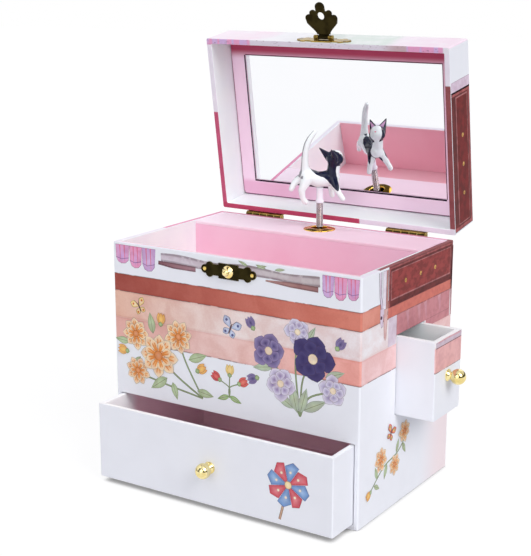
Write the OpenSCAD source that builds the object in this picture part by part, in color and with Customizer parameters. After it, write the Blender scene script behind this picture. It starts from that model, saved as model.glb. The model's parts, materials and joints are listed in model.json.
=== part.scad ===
// Wind-up music box: a paper-covered case with a hinged lid, a mirror, a tray,
// two drawers, and a key-wound comb movement that turns a kitten on a spring.
// Millimetres. The origin is the centre of the case's flat underside.
// +X is to the right, +Y to the back and +Z up. The lid is drawn standing open.

/* [Case] */
// Width of the case
case_w = 170; // [150:1:220]
// Depth of the case, front to back
case_d = 114; // [104:1:150]
// Height of the body under the lid
body_h = 145; // [140:1:190]
// Thickness of the case's boards
board_t = 3; // [2.5:0.5:4]
// Thickness of the thin inner boards
thin_t = 2; // [1.5:0.5:3]
// Thickness of the tray's card liner
liner_t = 1; // [0.6:0.2:1.4]
// Depth of the deck that carries the figure, with its wall
deck_d = 35; // [33:1:40]
// How far the deck lies below the rim
deck_sink = 0.3; // [0.2:0.1:2]
// Depth of the tray below the rim
tray_depth = 34.3; // [25:0.1:43]

/* [Lid] */
// Height of the closed lid
lid_h = 26; // [25:1:40]
// Thickness of the lid's four walls
lid_wall_t = 3.5; // [3:0.5:5]
// Angle at which the lid stands open
lid_open = 81; // [70:1:90]
// Width of the mirror
mirror_w = 140; // [100:1:140]
// Height of the mirror
mirror_h = 84; // [60:1:84]
// Thickness of the mirror
mirror_t = 1.8; // [1:0.2:3]
// How far the frame around the mirror stands proud of it
mat_proud = 0.4; // [0.2:0.1:1]

/* [Hinges] */
// Distance of each hinge's middle from the centre of the case
hinge_x = 52; // [40:1:55]
// Length of each hinge
hinge_l = 27.5; // [20:0.5:30]
// Radius of the hinge's barrel
barrel_r = 2; // [1.8:0.1:2.4]
// Radius of the hinge's pin
hinge_pin_r = 0.9; // [0.7:0.1:1.1]
// Height of a hinge leaf
leaf_h = 11; // [9:0.5:13]
// Thickness of a hinge leaf
leaf_t = 1; // [0.8:0.1:1.2]
// Number of knuckles in each hinge, an odd number
knuckles = 5; // [3:2:7]
// Gap between the barrel and the back of the case
barrel_gap = 0.2; // [0.15:0.05:0.4]

/* [Latch] */
// Sideways place of the latch
latch_x = -0.8; // [-3:0.1:3]
// Height of the hasp's pivot above the rim
hasp_rise = 5.4; // [5.3:0.1:8]
// Distance from the hasp's pivot to its hole
hasp_reach = 13.2; // [13:0.1:15]
// Radius of the hole in the hasp
hasp_hole_r = 2.4; // [2.4:0.1:2.8]
// Thickness of the hasp
hasp_t = 1; // [0.8:0.1:1.2]
// Width of the neck of the hasp
hasp_neck_w = 9; // [6:0.2:9]
// Lean of the raised hasp towards the stud, in degrees
hasp_lean = 10; // [0:1:20]
// Width of the two latch plates
plate_w = 37.5; // [34:0.5:44]
// Height of the plate on the body
catch_h = 9; // [8:0.5:9.5]
// Height of the plate on the lid
hasp_plate_h = 9; // [8:0.5:10]
// Thickness of the latch plates
plate_t = 0.8; // [0.6:0.1:1]
// Radius of the boss of the stud
boss_r = 3.7; // [3:0.1:4]
// Height of the boss of the stud
boss_h = 1.6; // [1.2:0.1:1.8]
// Radius of the stud's ball
stud_r = 2.1; // [1.8:0.1:2.1]

/* [Front drawer] */
// Height of the opening for the front drawer
front_open_h = 47.6; // [40:0.2:50]
// Room between the shut front drawer and the back panel
front_drawer_room = 5; // [1:1:20]
// How far the front drawer stands open
front_pull = 22; // [5:1:60]

/* [Side drawer] */
// Width of the side drawer
side_drawer_w = 34.2; // [28:0.2:38]
// Height of the side drawer
side_drawer_h = 46.7; // [40:0.1:47]
// Length of the side drawer
side_drawer_l = 70; // [60:1:70]
// How far the side drawer stands open
side_pull = 24; // [5:1:45]

/* [Drawers] */
// Thickness of the drawers' boards
drawer_t = 3; // [2:0.5:4]
// Clearance around each drawer
drawer_gap = 0.5; // [0.4:0.1:0.8]
// Radius of a knob's ball
knob_r = 4.6; // [4:0.1:6]
// Distance of the knob's ball from the drawer
knob_out = 6.4; // [6:0.1:9]
// Radius of a knob's base flange
knob_base_r = 3.6; // [3:0.1:5]
// Radius of a knob's neck
knob_neck_r = 2; // [1.8:0.1:2.6]

/* [Figure] */
// Distance of the spindle from the inside of the back panel
spindle_inset = 12; // [12:0.5:14]
// Outer radius of the ring in the deck
ring_r = 10; // [9:0.5:11]
// Inner radius of the ring in the deck
ring_hole_r = 5; // [4:0.5:6]
// Height of the ring's rim above the deck
ring_h = 1.2; // [0.8:0.1:2]
// Outer radius of the coil spring under the figure
post_r = 2.2; // [2:0.1:2.6]
// Height of the coil spring above the rim of the case
post_h = 16.5; // [15:0.5:19]
// Length of the white collar above the spring
collar_l = 9.5; // [8:0.5:12]
// Radius of the collar
collar_r = 2.6; // [2.4:0.1:3]
// Length of the kitten from its rear hind paw to its foremost paw
kitten_l = 34.6; // [30:0.1:37]
// Direction in which the kitten walks, from +X towards +Y
kitten_heading = 38; // [30:1:50]

/* [Movement] */
// Depth of the winding arbor below the rim of the case
movement_drop = 37; // [35:1:45]
// Thickness of the bedplate
bedplate_t = 2.5; // [2:0.5:3]
// Teeth of the great wheel
great_teeth = 32; // [32:4:40]
// Teeth of the pinions that the great wheel drives
pinion_teeth = 8; // [8:1:8]
// Pitch of the great wheel's teeth, measured along its pitch circle
great_pitch = 2.16; // [2.1:0.02:2.2]
// Radius of the spring housing
housing_r = 10; // [8:0.5:11]
// Radius of the winding arbor
arbor_r = 1.5; // [1.2:0.1:1.8]
// Radius of the note cylinder
cylinder_r = 6; // [5:0.5:6.5]
// Length of the note cylinder
cylinder_l = 24; // [22:1:26]
// Number of teeth of the comb
comb_teeth = 18; // [12:1:18]
// Module of the cylinder's wheel and the governor's pinion
train_module = 0.5; // [0.46:0.02:0.52]
// Teeth of the cylinder's wheel
train_wheel_teeth = 30; // [30:1:30]
// Teeth of the governor's pinion
train_pinion_teeth = 10; // [10:1:10]
// Teeth of the governor's worm wheel
worm_wheel_teeth = 20; // [20:1:20]
// Lead of the governor's worm
worm_lead = 1.5; // [1.4:0.05:1.55]
// Span of the key's wings
key_w = 24; // [18:1:32]
// Length of the key's stem
key_stem_l = 9; // [7:0.5:12]

/* [Hidden] */
$fn = 48;

// Clearances shared by the pieces that fit together
running_gap = 0.05;  // radial, shaft in bearing
seat_gap = 0.02;     // radial, screw or pin in its own hole
cut = 0.1;           // how far a cutting body runs past a face
side_gap = 0.2;      // along a shaft, between neighbours
root_gap = 0.15;     // between a tooth's tip and the root it turns in

// Faces of the case
half_w = case_w / 2;
half_d = case_d / 2;
in_x = half_w - board_t;
in_y = half_d - board_t;
shelf_z = board_t + front_open_h;
bay_z = shelf_z + board_t;
deck_front_y = half_d - deck_d;
deck_z = body_h - deck_sink;
lid_z = body_h + lid_h;

// Mirror and the frame around it
mirror_face_z = lid_z - board_t - mirror_t;
mat_gap = 0.3;

// Eyelet in the deck: its tube and its flange
eyelet_wall = 1.5;
flange_t = 0.6;

// Slot in the deck for the movement's stop wire, along the right wall
stop_slot_w = 1.3;
stop_slot_l = 18;
stop_slot_in = 3.7;

// Side drawer and the bay that it slides in
bay_floor_t = thin_t;
side_z = bay_z + bay_floor_t;
side_y = deck_front_y - thin_t - drawer_gap - side_drawer_w / 2;
side_open_w = side_drawer_w + 2 * drawer_gap;
side_open_top = side_z + side_drawer_h + 2 * drawer_gap;
tray_z = max(body_h - tray_depth, side_open_top + thin_t + drawer_gap);
bay_end_x = half_w - side_drawer_l - board_t;

// Front drawer
front_w = 2 * in_x - 2 * drawer_gap;
front_h = front_open_h - 2 * drawer_gap;
front_drawer_l = case_d - board_t - front_drawer_room;

// Screws of the knobs
knob_screw_r = 1.2;
knob_screw_in = 4;
knob_head_r = 2.6;
knob_head_t = 1.4;

// Hinges: screws, and the gap between two knuckles
hinge_y = half_d + barrel_gap + barrel_r;
knuckle_l = hinge_l / knuckles;
knuckle_gap = 0.15;
leaf_drop = barrel_r * 0.8;
hinge_screw_r = 0.8;
hinge_screw_l = 2.4;
hinge_head_r = 1.6;
hinge_head_t = 0.6;

// Latch: the hasp's pivot, its knuckles, and the stud that it drops over
knuckle_r = 1.3;
hasp_y = -half_d - plate_t - knuckle_r - side_gap;
hasp_z = body_h + hasp_rise;
hasp_pin_r = 0.6;
hasp_pin_over = 3;
hasp_knuckle_l = hasp_neck_w - 2;
plate_knuckle_l = 2.8;
hasp_gap = 0.2;
hasp_lift = 0.4;
hasp_lobe_r = 3.1;
hasp_head_w = 22;
stud_z = hasp_z - hasp_reach;
stud_shank_r = 1.1;
catch_pin_r = 0.6;
catch_pin_head_r = 1.1;
catch_pin_head_t = 0.5;
catch_pin_edge = 2.5;
shank_l = 2.2;

// Figure
spindle_y = in_y - spindle_inset;
spring_foot = 0.6;
collar_z = body_h + post_h;
kitten_z = collar_z + collar_l;
kitten_scale = kitten_l / 34.6;  // its links are drawn for a length of 34.6

// Movement: the arbor lies along Y, the cylinder along X, the spindle along Z
movement_z = body_h - movement_drop;
great_r = great_teeth * great_pitch / (2 * PI);
pinion_r = pinion_teeth * great_pitch / (2 * PI);
tooth_rise = 0.7;
tooth_w = 0.72;
tooth_l = 2.2;
tooth_gap = 0.2;
mesh_y = spindle_y + pinion_r;
wheel_face_y = mesh_y + tooth_rise + tooth_gap;
wheel_t = 1;
pinion_w = 1.4;
bed_y = in_y - bedplate_t;
housing_y = wheel_face_y + wheel_t + side_gap;
housing_wall = 0.6;
strip_t = 0.4;
strip_gap = 0.4;
spindle_r = 1;
shaft_r = 0.7;

// Cylinder: lugs of the bedplate at its ends, then its wheel
lug_t = 1.4;
lug_h = 7;
lug_front = 2.5;
lug_a_x = -great_r - pinion_w / 2 - 1.2;
cylinder_x = lug_a_x - lug_t - side_gap;
lug_b_x = cylinder_x - cylinder_l - side_gap;
pin_r = 0.25;
pin_h = 0.7;
train_w = 1.5;
train_gap = 0.9;
train_x = lug_b_x - lug_t - train_gap;
train_r = train_module * train_wheel_teeth / 2;
train_pinion_r = train_module * train_pinion_teeth / 2;
train_rise = train_module * 0.9;
train_tooth_w = train_module * 1.1;

// Governor: worm wheel on the pinion's arbor, worm upright beside it
governor_z = movement_z + train_r + train_pinion_r;
governor_below = 6.2;
governor_above = 13;
governor_low_z = governor_z - governor_below;
governor_high_z = governor_z + governor_above;
frame_t = 1.5;
ear_t = 1;
ear_r = 2.5;
worm_wheel_r = worm_wheel_teeth * worm_lead / (2 * PI);
worm_wheel_t = 1.2;
worm_tooth_rise = 0.35;
worm_tooth_w = 0.42;
worm_core_r = 1.2;
worm_offset = 0.4;
worm_room = 2.3;
worm_l = 8;
worm_x = train_x - train_w - worm_room;
worm_y = spindle_y - worm_wheel_r - worm_core_r;
ear_x = worm_x - worm_room;
fan_r = 5;
fan_t = 0.4;
fan_low = 5.5;
fan_high = 12;

// Bedplate, its screws, and the comb below the cylinder
bed_above = 25;
bed_below = 22;
bed_side = 4;
bed_low_z = movement_z - bed_below;
bed_high_z = movement_z + bed_above;
bed_right_x = great_r + bed_side;
bed_left_x = ear_x - 2 * ear_t;
bed_screw_r = 1.3;
bed_screw_edge = 4;
bed_screw_drop = 9;
bed_head_r = 2.6;
bed_head_t = 1.6;
bed_screws = [
    [bed_right_x - bed_screw_edge, bed_high_z - bed_screw_drop],
    [bed_right_x - bed_screw_edge, bed_low_z + bed_screw_edge],
    [bed_left_x + bed_screw_edge, bed_low_z + bed_screw_edge]
];
comb_t = 1.2;
comb_slit = 0.4;
comb_tip_gap = 1.4;
comb_l = 13.6;
comb_foot = 5.5;
comb_tip_z = movement_z - cylinder_r - comb_tip_gap;
comb_low_z = comb_tip_z - comb_l;
comb_root_z = comb_low_z + comb_foot;
comb_screw_z = (comb_low_z + comb_root_z) / 2;
comb_screw_r = 1;
comb_screw_l = 4;
comb_head_r = 2;
comb_head_t = 1.2;

// Bracket of the spindle
bracket_w = 10;
arm_t = 1.2;
arm_front = 3;
arm_room = 3;
bracket_drop = 1;
arm_low_z = movement_z + great_r + arm_room;
arm_high_z = bed_high_z - bracket_drop - arm_t;
spindle_collar_t = 1.4;

// Winding key behind the back panel
key_hole_r = 4.5;
key_gap = 1.2;
key_y = half_d + key_gap;
key_stem_r = 2.8;
key_t = 2;
key_seat = 2;
key_wing_r = 5;
key_neck_w = 7;
key_neck_l = 10;

// ---------- helpers ----------

// A box between two corners
module box(low, high) {
    translate(low)
        cube([for (i = [0 : 2]) high[i] - low[i]]);
}

// A cylinder along +X, +Y or +Z from a point
module rod_x(p, r, l) {
    translate(p)
        rotate([0, 90, 0])
            cylinder(r = r, h = l);
}

module rod_y(p, r, l) {
    translate(p)
        rotate([-90, 0, 0])
            cylinder(r = r, h = l);
}

module rod_z(p, r, l) {
    translate(p)
        cylinder(r = r, h = l);
}

// Puts the lid's pieces, drawn closed, in their open place
module opened() {
    translate([0, hinge_y, body_h])
        rotate([-lid_open, 0, 0])
            translate([0, -hinge_y, -body_h])
                children();
}

// A spur gear along +Z with straight-sided teeth, the first one on +X
module spur(teeth, pitch_r, rise, width_at_pitch, thickness, bore_r) {
    root_r = pitch_r - rise - root_gap;
    difference() {
        union() {
            cylinder(r = root_r, h = thickness);
            for (i = [0 : teeth - 1])
                rotate(i * 360 / teeth)
                    linear_extrude(thickness)
                        polygon([
                            [root_r - 2 * root_gap, -width_at_pitch * 0.6],
                            [pitch_r + rise, -width_at_pitch * 0.32],
                            [pitch_r + rise, width_at_pitch * 0.32],
                            [root_r - 2 * root_gap, width_at_pitch * 0.6]
                        ]);
        }
        if (bore_r > 0)
            translate([0, 0, -cut])
                cylinder(r = bore_r, h = thickness + 2 * cut);
    }
}

// A chain of round links through points, each with its own radius: [x, y, z, r]
module chain(links) {
    for (i = [0 : len(links) - 2])
        hull() {
            link_ball(links[i]);
            link_ball(links[i + 1]);
        }
}

module link_ball(link) {
    translate([link[0], link[1], link[2]])
        sphere(r = link[3], $fn = 20);
}

// ---------- case ----------

module bottom_panel() {
    color("white")
        box([-in_x, -half_d, 0], [in_x, half_d, board_t]);
}

module side_board(x) {
    box([x, -half_d, 0], [x + board_t, half_d, body_h]);
}

module left_side_panel() {
    color("white")
        side_board(-half_w);
}

module right_side_panel() {
    color("lightsalmon")
        difference() {
            side_board(in_x);
            box([in_x - cut, side_y - side_open_w / 2, side_z],
                [half_w + cut, side_y + side_open_w / 2, side_open_top]);
        }
}

module front_panel() {
    color("peachpuff")
        difference() {
            box([-in_x, -half_d, shelf_z], [in_x, -in_y, body_h]);
            catch_pin_shanks(seat_gap);
            stud_shank(seat_gap);
        }
}

module back_panel() {
    color("white")
        difference() {
            box([-in_x, in_y, board_t], [in_x, half_d, body_h]);
            rod_y([0, in_y - cut, movement_z], key_hole_r, board_t + 2 * cut);
            for (p = bed_screws)
                rod_y([p[0], in_y - cut, p[1]], bed_screw_r + 0.1, board_t + 2 * cut);
            hinge_screw_shanks(-1, seat_gap);
        }
}

module drawer_shelf() {
    color("ghostwhite")
        box([-in_x, -in_y, shelf_z], [in_x, in_y, bay_z]);
}

// The floor, the two walls and the end board of the side drawer's bay
module side_drawer_bay() {
    wall_y = [side_y - side_open_w / 2 - thin_t, side_y + side_open_w / 2];
    color("ghostwhite") {
        box([bay_end_x, wall_y[0] + thin_t, bay_z], [in_x, wall_y[1], side_z]);
        for (y = wall_y)
            box([bay_end_x, y, bay_z], [in_x, y + thin_t, tray_z - thin_t]);
        box([bay_end_x - board_t, wall_y[0], bay_z],
            [bay_end_x, wall_y[1] + thin_t, tray_z - thin_t]);
    }
}

module tray_floor() {
    color("pink")
        box([-in_x, -in_y, tray_z - thin_t], [in_x, deck_front_y, tray_z]);
}

module deck_wall() {
    color("pink")
        box([-in_x, deck_front_y, bay_z], [in_x, deck_front_y + thin_t, deck_z - thin_t]);
}

module deck_panel() {
    color("lightpink")
        difference() {
            box([-in_x, deck_front_y, deck_z - thin_t], [in_x, in_y, deck_z]);
            rod_z([0, spindle_y, deck_z - thin_t - cut],
                  ring_hole_r + eyelet_wall, thin_t + 2 * cut);
            box([in_x - stop_slot_w, in_y - stop_slot_in - stop_slot_l, deck_z - thin_t - cut],
                [in_x + cut, in_y - stop_slot_in, deck_z + cut]);
        }
}

// Card lining along the front and the two sides of the tray
module tray_liner() {
    color("lavenderblush")
        difference() {
            box([-in_x, -in_y, tray_z], [in_x, deck_front_y, body_h]);
            box([-in_x + liner_t, -in_y + liner_t, tray_z - cut],
                [in_x - liner_t, deck_front_y + cut, body_h + cut]);
        }
}

// Eyelet in the deck: a domed flange over a short tube
module spindle_ring() {
    color("gold")
        translate([0, spindle_y, deck_z])
            rotate_extrude()
                polygon([
                    [ring_hole_r, -thin_t],
                    [ring_hole_r + eyelet_wall - seat_gap, -thin_t],
                    [ring_hole_r + eyelet_wall - seat_gap, 0],
                    [ring_r, 0],
                    [ring_r - flange_t / 2, flange_t * 0.6],
                    [ring_r - eyelet_wall, ring_h],
                    [ring_hole_r + eyelet_wall / 2, ring_h],
                    [ring_hole_r, flange_t]
                ]);
}

// ---------- latch ----------

// Outline of a latch plate: a long bar with scalloped ends
module latch_outline(h) {
    end_r = h * 0.28;
    square([plate_w - 5 * end_r, h * 0.72], center = true);
    square([plate_w * 0.36, h], center = true);
    for (s = [-1, 1]) {
        translate([s * (plate_w / 2 - end_r), 0])
            circle(end_r);
        for (t = [-1, 1])
            translate([s * (plate_w / 2 - 2.3 * end_r), t * h * 0.22])
                circle(end_r);
    }
}

module catch_pin_shanks(gap) {
    for (s = [-1, 1])
        rod_y([latch_x + s * (plate_w / 2 - catch_pin_edge), -half_d - plate_t - cut, stud_z],
              catch_pin_r + gap, plate_t + cut + shank_l);
}

module stud_shank(gap) {
    rod_y([latch_x, -half_d - plate_t - cut, stud_z],
          stud_shank_r + gap, plate_t + cut + shank_l);
}

module catch_plate() {
    color("goldenrod")
        difference() {
            translate([latch_x, -half_d, stud_z])
                rotate([90, 0, 0])
                    linear_extrude(plate_t)
                        latch_outline(catch_h);
            catch_pin_shanks(seat_gap);
            stud_shank(seat_gap);
        }
}

module catch_pins() {
    color("gold") {
        catch_pin_shanks(0);
        for (s = [-1, 1])
            rod_y([latch_x + s * (plate_w / 2 - catch_pin_edge),
                   -half_d - plate_t - catch_pin_head_t, stud_z],
                  catch_pin_head_r, catch_pin_head_t);
    }
}

module catch_stud() {
    color("gold") {
        stud_shank(0);
        translate([latch_x, -half_d - plate_t, stud_z])
            rotate([90, 0, 0])
                rotate_extrude()
                    polygon([
                        [0, 0],
                        [boss_r, 0],
                        [boss_r, boss_h * 0.3],
                        [boss_r * 0.8, boss_h * 0.75],
                        [stud_r * 0.8, boss_h],
                        [stud_r * 0.8, boss_h + stud_r * 0.2],
                        [stud_r, boss_h + stud_r * 0.5],
                        [stud_r * 0.85, boss_h + stud_r * 0.9],
                        [stud_r * 0.4, boss_h + stud_r * 1.2],
                        [0, boss_h + stud_r * 1.25]
                    ]);
    }
}

module hasp_plate() {
    step = hasp_knuckle_l / 2 + hasp_gap + plate_knuckle_l / 2;
    opened()
        color("goldenrod")
            difference() {
                union() {
                    translate([latch_x, -half_d, hasp_z])
                        rotate([90, 0, 0])
                            linear_extrude(plate_t)
                                latch_outline(hasp_plate_h);
                    for (s = [-1, 1])
                        translate([latch_x + s * step - plate_knuckle_l / 2, 0, 0]) {
                            rod_x([0, hasp_y, hasp_z], knuckle_r, plate_knuckle_l);
                            box([0, hasp_y, hasp_z - knuckle_r * 0.6],
                                [plate_knuckle_l, -half_d - plate_t / 2,
                                 hasp_z + knuckle_r * 0.6]);
                        }
                }
                hasp_bore(seat_gap);
            }
}

module hasp_pin() {
    opened()
        color("gold")
            rod_x([latch_x - hasp_knuckle_l / 2 - hasp_pin_over, hasp_y, hasp_z],
                  hasp_pin_r, hasp_knuckle_l + 2 * hasp_pin_over);
}

module hasp_bore(gap) {
    rod_x([latch_x - hasp_neck_w, hasp_y, hasp_z], hasp_pin_r + gap, 2 * hasp_neck_w);
}

// Flat outline of the hasp, x across and y away from the pivot: five lobes round the hole
module hasp_outline() {
    wide_x = hasp_head_w / 2;
    side_r = 0.77 * hasp_lobe_r;
    root_x = hasp_knuckle_l / 2 - hasp_gap;
    root_y = knuckle_r + hasp_gap;
    flank = [
        [root_x, 0],
        [root_x, root_y],
        [hasp_neck_w / 2, root_y],
        [hasp_neck_w / 2, 0.16 * hasp_reach],
        [hasp_neck_w / 2 + 0.07 * wide_x, 0.25 * hasp_reach],
        [0.6 * wide_x, 0.36 * hasp_reach],
        [0.79 * wide_x, 0.51 * hasp_reach],
        [0.94 * wide_x, 0.64 * hasp_reach],
        [0.99 * wide_x, hasp_reach - 0.77 * hasp_lobe_r],
        [0.67 * wide_x, hasp_reach + 0.1 * hasp_lobe_r],
        [1.8 * hasp_lobe_r, hasp_reach + 0.95 * hasp_lobe_r]
    ];
    last = len(flank) - 1;
    difference() {
        union() {
            translate([0, hasp_reach + 1.77 * hasp_lobe_r])
                circle(hasp_lobe_r);
            translate([-hasp_lobe_r, hasp_reach])
                square([2 * hasp_lobe_r, 1.77 * hasp_lobe_r]);
            for (s = [-1, 1]) {
                translate([s * 1.8 * hasp_lobe_r, hasp_reach + 0.5 * hasp_lobe_r])
                    circle(0.68 * hasp_lobe_r);
                translate([s * (wide_x - side_r), hasp_reach - 0.5 * hasp_lobe_r])
                    circle(side_r);
            }
            polygon(concat(flank, [for (i = [last:-1:0]) [-flank[i][0], flank[i][1]]]));
        }
        translate([0, hasp_reach])
            circle(hasp_hole_r);
    }
}

// Turns what hangs on the hasp's pivot towards the stud
module hasp_leaned() {
    translate([0, hasp_y, hasp_z])
        rotate([hasp_lean, 0, 0])
            translate([0, -hasp_y, -hasp_z])
                children();
}

module hasp() {
    opened()
        color("goldenrod")
            difference() {
                union() {
                    hasp_leaned()
                        translate([latch_x, hasp_y, hasp_z + hasp_lift])
                            rotate([0, 0, 180])
                                linear_extrude(hasp_t)
                                    hasp_outline();
                    rod_x([latch_x - hasp_knuckle_l / 2, hasp_y, hasp_z], knuckle_r,
                          hasp_knuckle_l);
                }
                hasp_bore(running_gap);
            }
}

// ---------- hinges ----------

// Shanks of the hinge screws; side -1 is the body's leaf and +1 the lid's
module hinge_screw_shanks(side, gap) {
    for (h = [-1, 1])
        for (s = [-1, 1])
            rod_y([h * hinge_x + s * hinge_l * 0.3, half_d - hinge_screw_l,
                   body_h + side * (barrel_r + leaf_h / 2)],
                  hinge_screw_r + gap, hinge_screw_l + leaf_t + cut);
}

module hinge_screws(side) {
    hinge_screw_shanks(side, 0);
    for (h = [-1, 1])
        for (s = [-1, 1])
            rod_y([h * hinge_x + s * hinge_l * 0.3, half_d + leaf_t,
                   body_h + side * (barrel_r + leaf_h / 2)],
                  hinge_head_r, hinge_head_t);
}

// One leaf of each hinge with every second knuckle, starting at knuckle first
module hinge_leaves(side, first) {
    long = knuckle_l - 2 * knuckle_gap;
    difference() {
        for (h = [-1, 1])
            translate([h * hinge_x - hinge_l / 2, 0, 0]) {
                low = side < 0 ? body_h - leaf_h - leaf_drop : body_h + leaf_drop;
                box([0, half_d, low], [hinge_l, half_d + leaf_t, low + leaf_h]);
                for (k = [first : 2 : knuckles - 1])
                    translate([k * knuckle_l + knuckle_gap, 0, 0]) {
                        rod_x([0, hinge_y, body_h], barrel_r, long);
                        box([0, half_d + barrel_gap, min(body_h, body_h + side * barrel_r)],
                            [long, half_d + leaf_t, max(body_h, body_h + side * barrel_r)]);
                    }
            }
        for (h = [-1, 1])
            rod_x([h * hinge_x - hinge_l / 2 - cut, hinge_y, body_h],
                  hinge_pin_r + running_gap, hinge_l + 2 * cut);
        hinge_screw_shanks(side, seat_gap);
    }
}

module hinge_body_leaves() {
    color("goldenrod")
        hinge_leaves(-1, 0);
}

module hinge_body_screws() {
    color("gold")
        hinge_screws(-1);
}

module hinge_lid_leaves() {
    color("goldenrod")
        opened()
            hinge_leaves(1, 1);
}

module hinge_lid_screws() {
    color("gold")
        opened()
            hinge_screws(1);
}

module hinge_pins() {
    color("gold")
        for (h = [-1, 1])
            rod_x([h * hinge_x - hinge_l / 2, hinge_y, body_h], hinge_pin_r, hinge_l);
}

// ---------- lid ----------

module lid_top_panel() {
    color("mistyrose")
        opened()
            box([-half_w, -half_d, lid_z - board_t], [half_w, half_d, lid_z]);
}

module lid_front_wall() {
    color("white")
        opened()
            box([-half_w, -half_d, body_h],
                [half_w, -half_d + lid_wall_t, lid_z - board_t]);
}

module lid_back_wall() {
    color("white")
        opened()
            difference() {
                box([-half_w, half_d - lid_wall_t, body_h],
                    [half_w, half_d, lid_z - board_t]);
                hinge_screw_shanks(1, seat_gap);
            }
}

module lid_side_walls() {
    color("brown")
        opened()
            for (x = [-half_w, half_w - lid_wall_t])
                box([x, -half_d + lid_wall_t, body_h],
                    [x + lid_wall_t, half_d - lid_wall_t, lid_z - board_t]);
}

module mirror() {
    color("lightsteelblue")
        opened()
            box([-mirror_w / 2, -mirror_h / 2, mirror_face_z],
                [mirror_w / 2, mirror_h / 2, lid_z - board_t]);
}

module mirror_mat() {
    mat_x = half_w - lid_wall_t - mat_gap;
    mat_y = half_d - lid_wall_t - mat_gap;
    color("hotpink")
        opened()
            difference() {
                box([-mat_x, -mat_y, mirror_face_z - mat_proud],
                    [mat_x, mat_y, lid_z - board_t]);
                box([-mirror_w / 2 - mat_gap, -mirror_h / 2 - mat_gap,
                     mirror_face_z - mat_proud - cut],
                    [mirror_w / 2 + mat_gap, mirror_h / 2 + mat_gap, lid_z]);
            }
}

// ---------- drawers ----------

// A drawer's boards, drawn with the face in the plane x = 0 and the box behind it, along -X
module drawer_face_board(w, h) {
    difference() {
        box([-drawer_t, -w / 2, 0], [0, w / 2, h]);
        rod_x([-drawer_t - cut, 0, h / 2], knob_screw_r + seat_gap, drawer_t + 2 * cut);
    }
}

module drawer_side_boards(w, h, l) {
    for (y = [-w / 2, w / 2 - drawer_t])
        box([-l, y, 0], [-drawer_t, y + drawer_t, h]);
}

module drawer_back_board(w, h, l) {
    box([-l, -w / 2 + drawer_t, 0], [-l + drawer_t, w / 2 - drawer_t, h]);
}

module drawer_bottom_board(w, l) {
    box([-l + drawer_t, -w / 2 + drawer_t, 0], [-drawer_t, w / 2 - drawer_t, thin_t]);
}

// A ball on a flared neck, along +X from the drawer's face
module drawer_knob(h) {
    translate([0, 0, h / 2])
        rotate([0, 90, 0])
            difference() {
                union() {
                    translate([0, 0, knob_out])
                        sphere(r = knob_r);
                    rotate_extrude()
                        polygon([
                            [0, 0],
                            [knob_base_r, 0],
                            [knob_base_r, knob_base_r * 0.17],
                            [knob_base_r * 0.72, knob_base_r * 0.33],
                            [knob_neck_r, knob_base_r * 0.56],
                            [knob_neck_r, knob_out - knob_r * 0.5],
                            [0, knob_out]
                        ]);
                }
                translate([0, 0, -cut])
                    cylinder(r = knob_screw_r + seat_gap, h = knob_screw_in + cut);
            }
}

// The screw that holds a knob, with its head inside the drawer
module drawer_knob_screw(h) {
    rod_x([-drawer_t, 0, h / 2], knob_screw_r, drawer_t + knob_screw_in - side_gap);
    rod_x([-drawer_t - knob_head_t, 0, h / 2], knob_head_r, knob_head_t);
}

// Puts a drawer drawn along X at the front opening or at the side opening
module at_front() {
    translate([0, -half_d - front_pull, board_t + drawer_gap / 2])
        rotate([0, 0, -90])
            children();
}

module at_side() {
    translate([half_w + side_pull, side_y, side_z + drawer_gap / 2])
        children();
}

module front_drawer_face() {
    color("white")
        at_front()
            drawer_face_board(front_w, front_h);
}

module front_drawer_sides() {
    color("white")
        at_front()
            drawer_side_boards(front_w, front_h, front_drawer_l);
}

module front_drawer_back() {
    color("white")
        at_front()
            drawer_back_board(front_w, front_h, front_drawer_l);
}

module front_drawer_bottom() {
    color("rosybrown")
        at_front()
            drawer_bottom_board(front_w, front_drawer_l);
}

module front_drawer_knob() {
    color("gold")
        at_front()
            drawer_knob(front_h);
}

module front_knob_screw() {
    color("silver")
        at_front()
            drawer_knob_screw(front_h);
}

module side_drawer_face() {
    color("lightsalmon")
        at_side()
            drawer_face_board(side_drawer_w, side_drawer_h);
}

module side_drawer_sides() {
    color("white")
        at_side()
            drawer_side_boards(side_drawer_w, side_drawer_h, side_drawer_l);
}

module side_drawer_back() {
    color("white")
        at_side()
            drawer_back_board(side_drawer_w, side_drawer_h, side_drawer_l);
}

module side_drawer_bottom() {
    color("white")
        at_side()
            drawer_bottom_board(side_drawer_w, side_drawer_l);
}

module side_drawer_knob() {
    color("gold")
        at_side()
            drawer_knob(side_drawer_h);
}

module side_knob_screw() {
    color("silver")
        at_side()
            drawer_knob_screw(side_drawer_h);
}

// ---------- movement ----------

module bed_screw_shanks(gap) {
    for (p = bed_screws)
        rod_y([p[0], bed_y + side_gap, p[1]], bed_screw_r + gap, half_d - bed_y);
}

module comb_screw_shanks(gap) {
    for (s = [-1, 1])
        rod_y([cylinder_x - cylinder_l / 2 + s * cylinder_l / 4,
               spindle_y - comb_t / 2, comb_screw_z],
              comb_screw_r + gap, comb_t + comb_screw_l);
}

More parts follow.
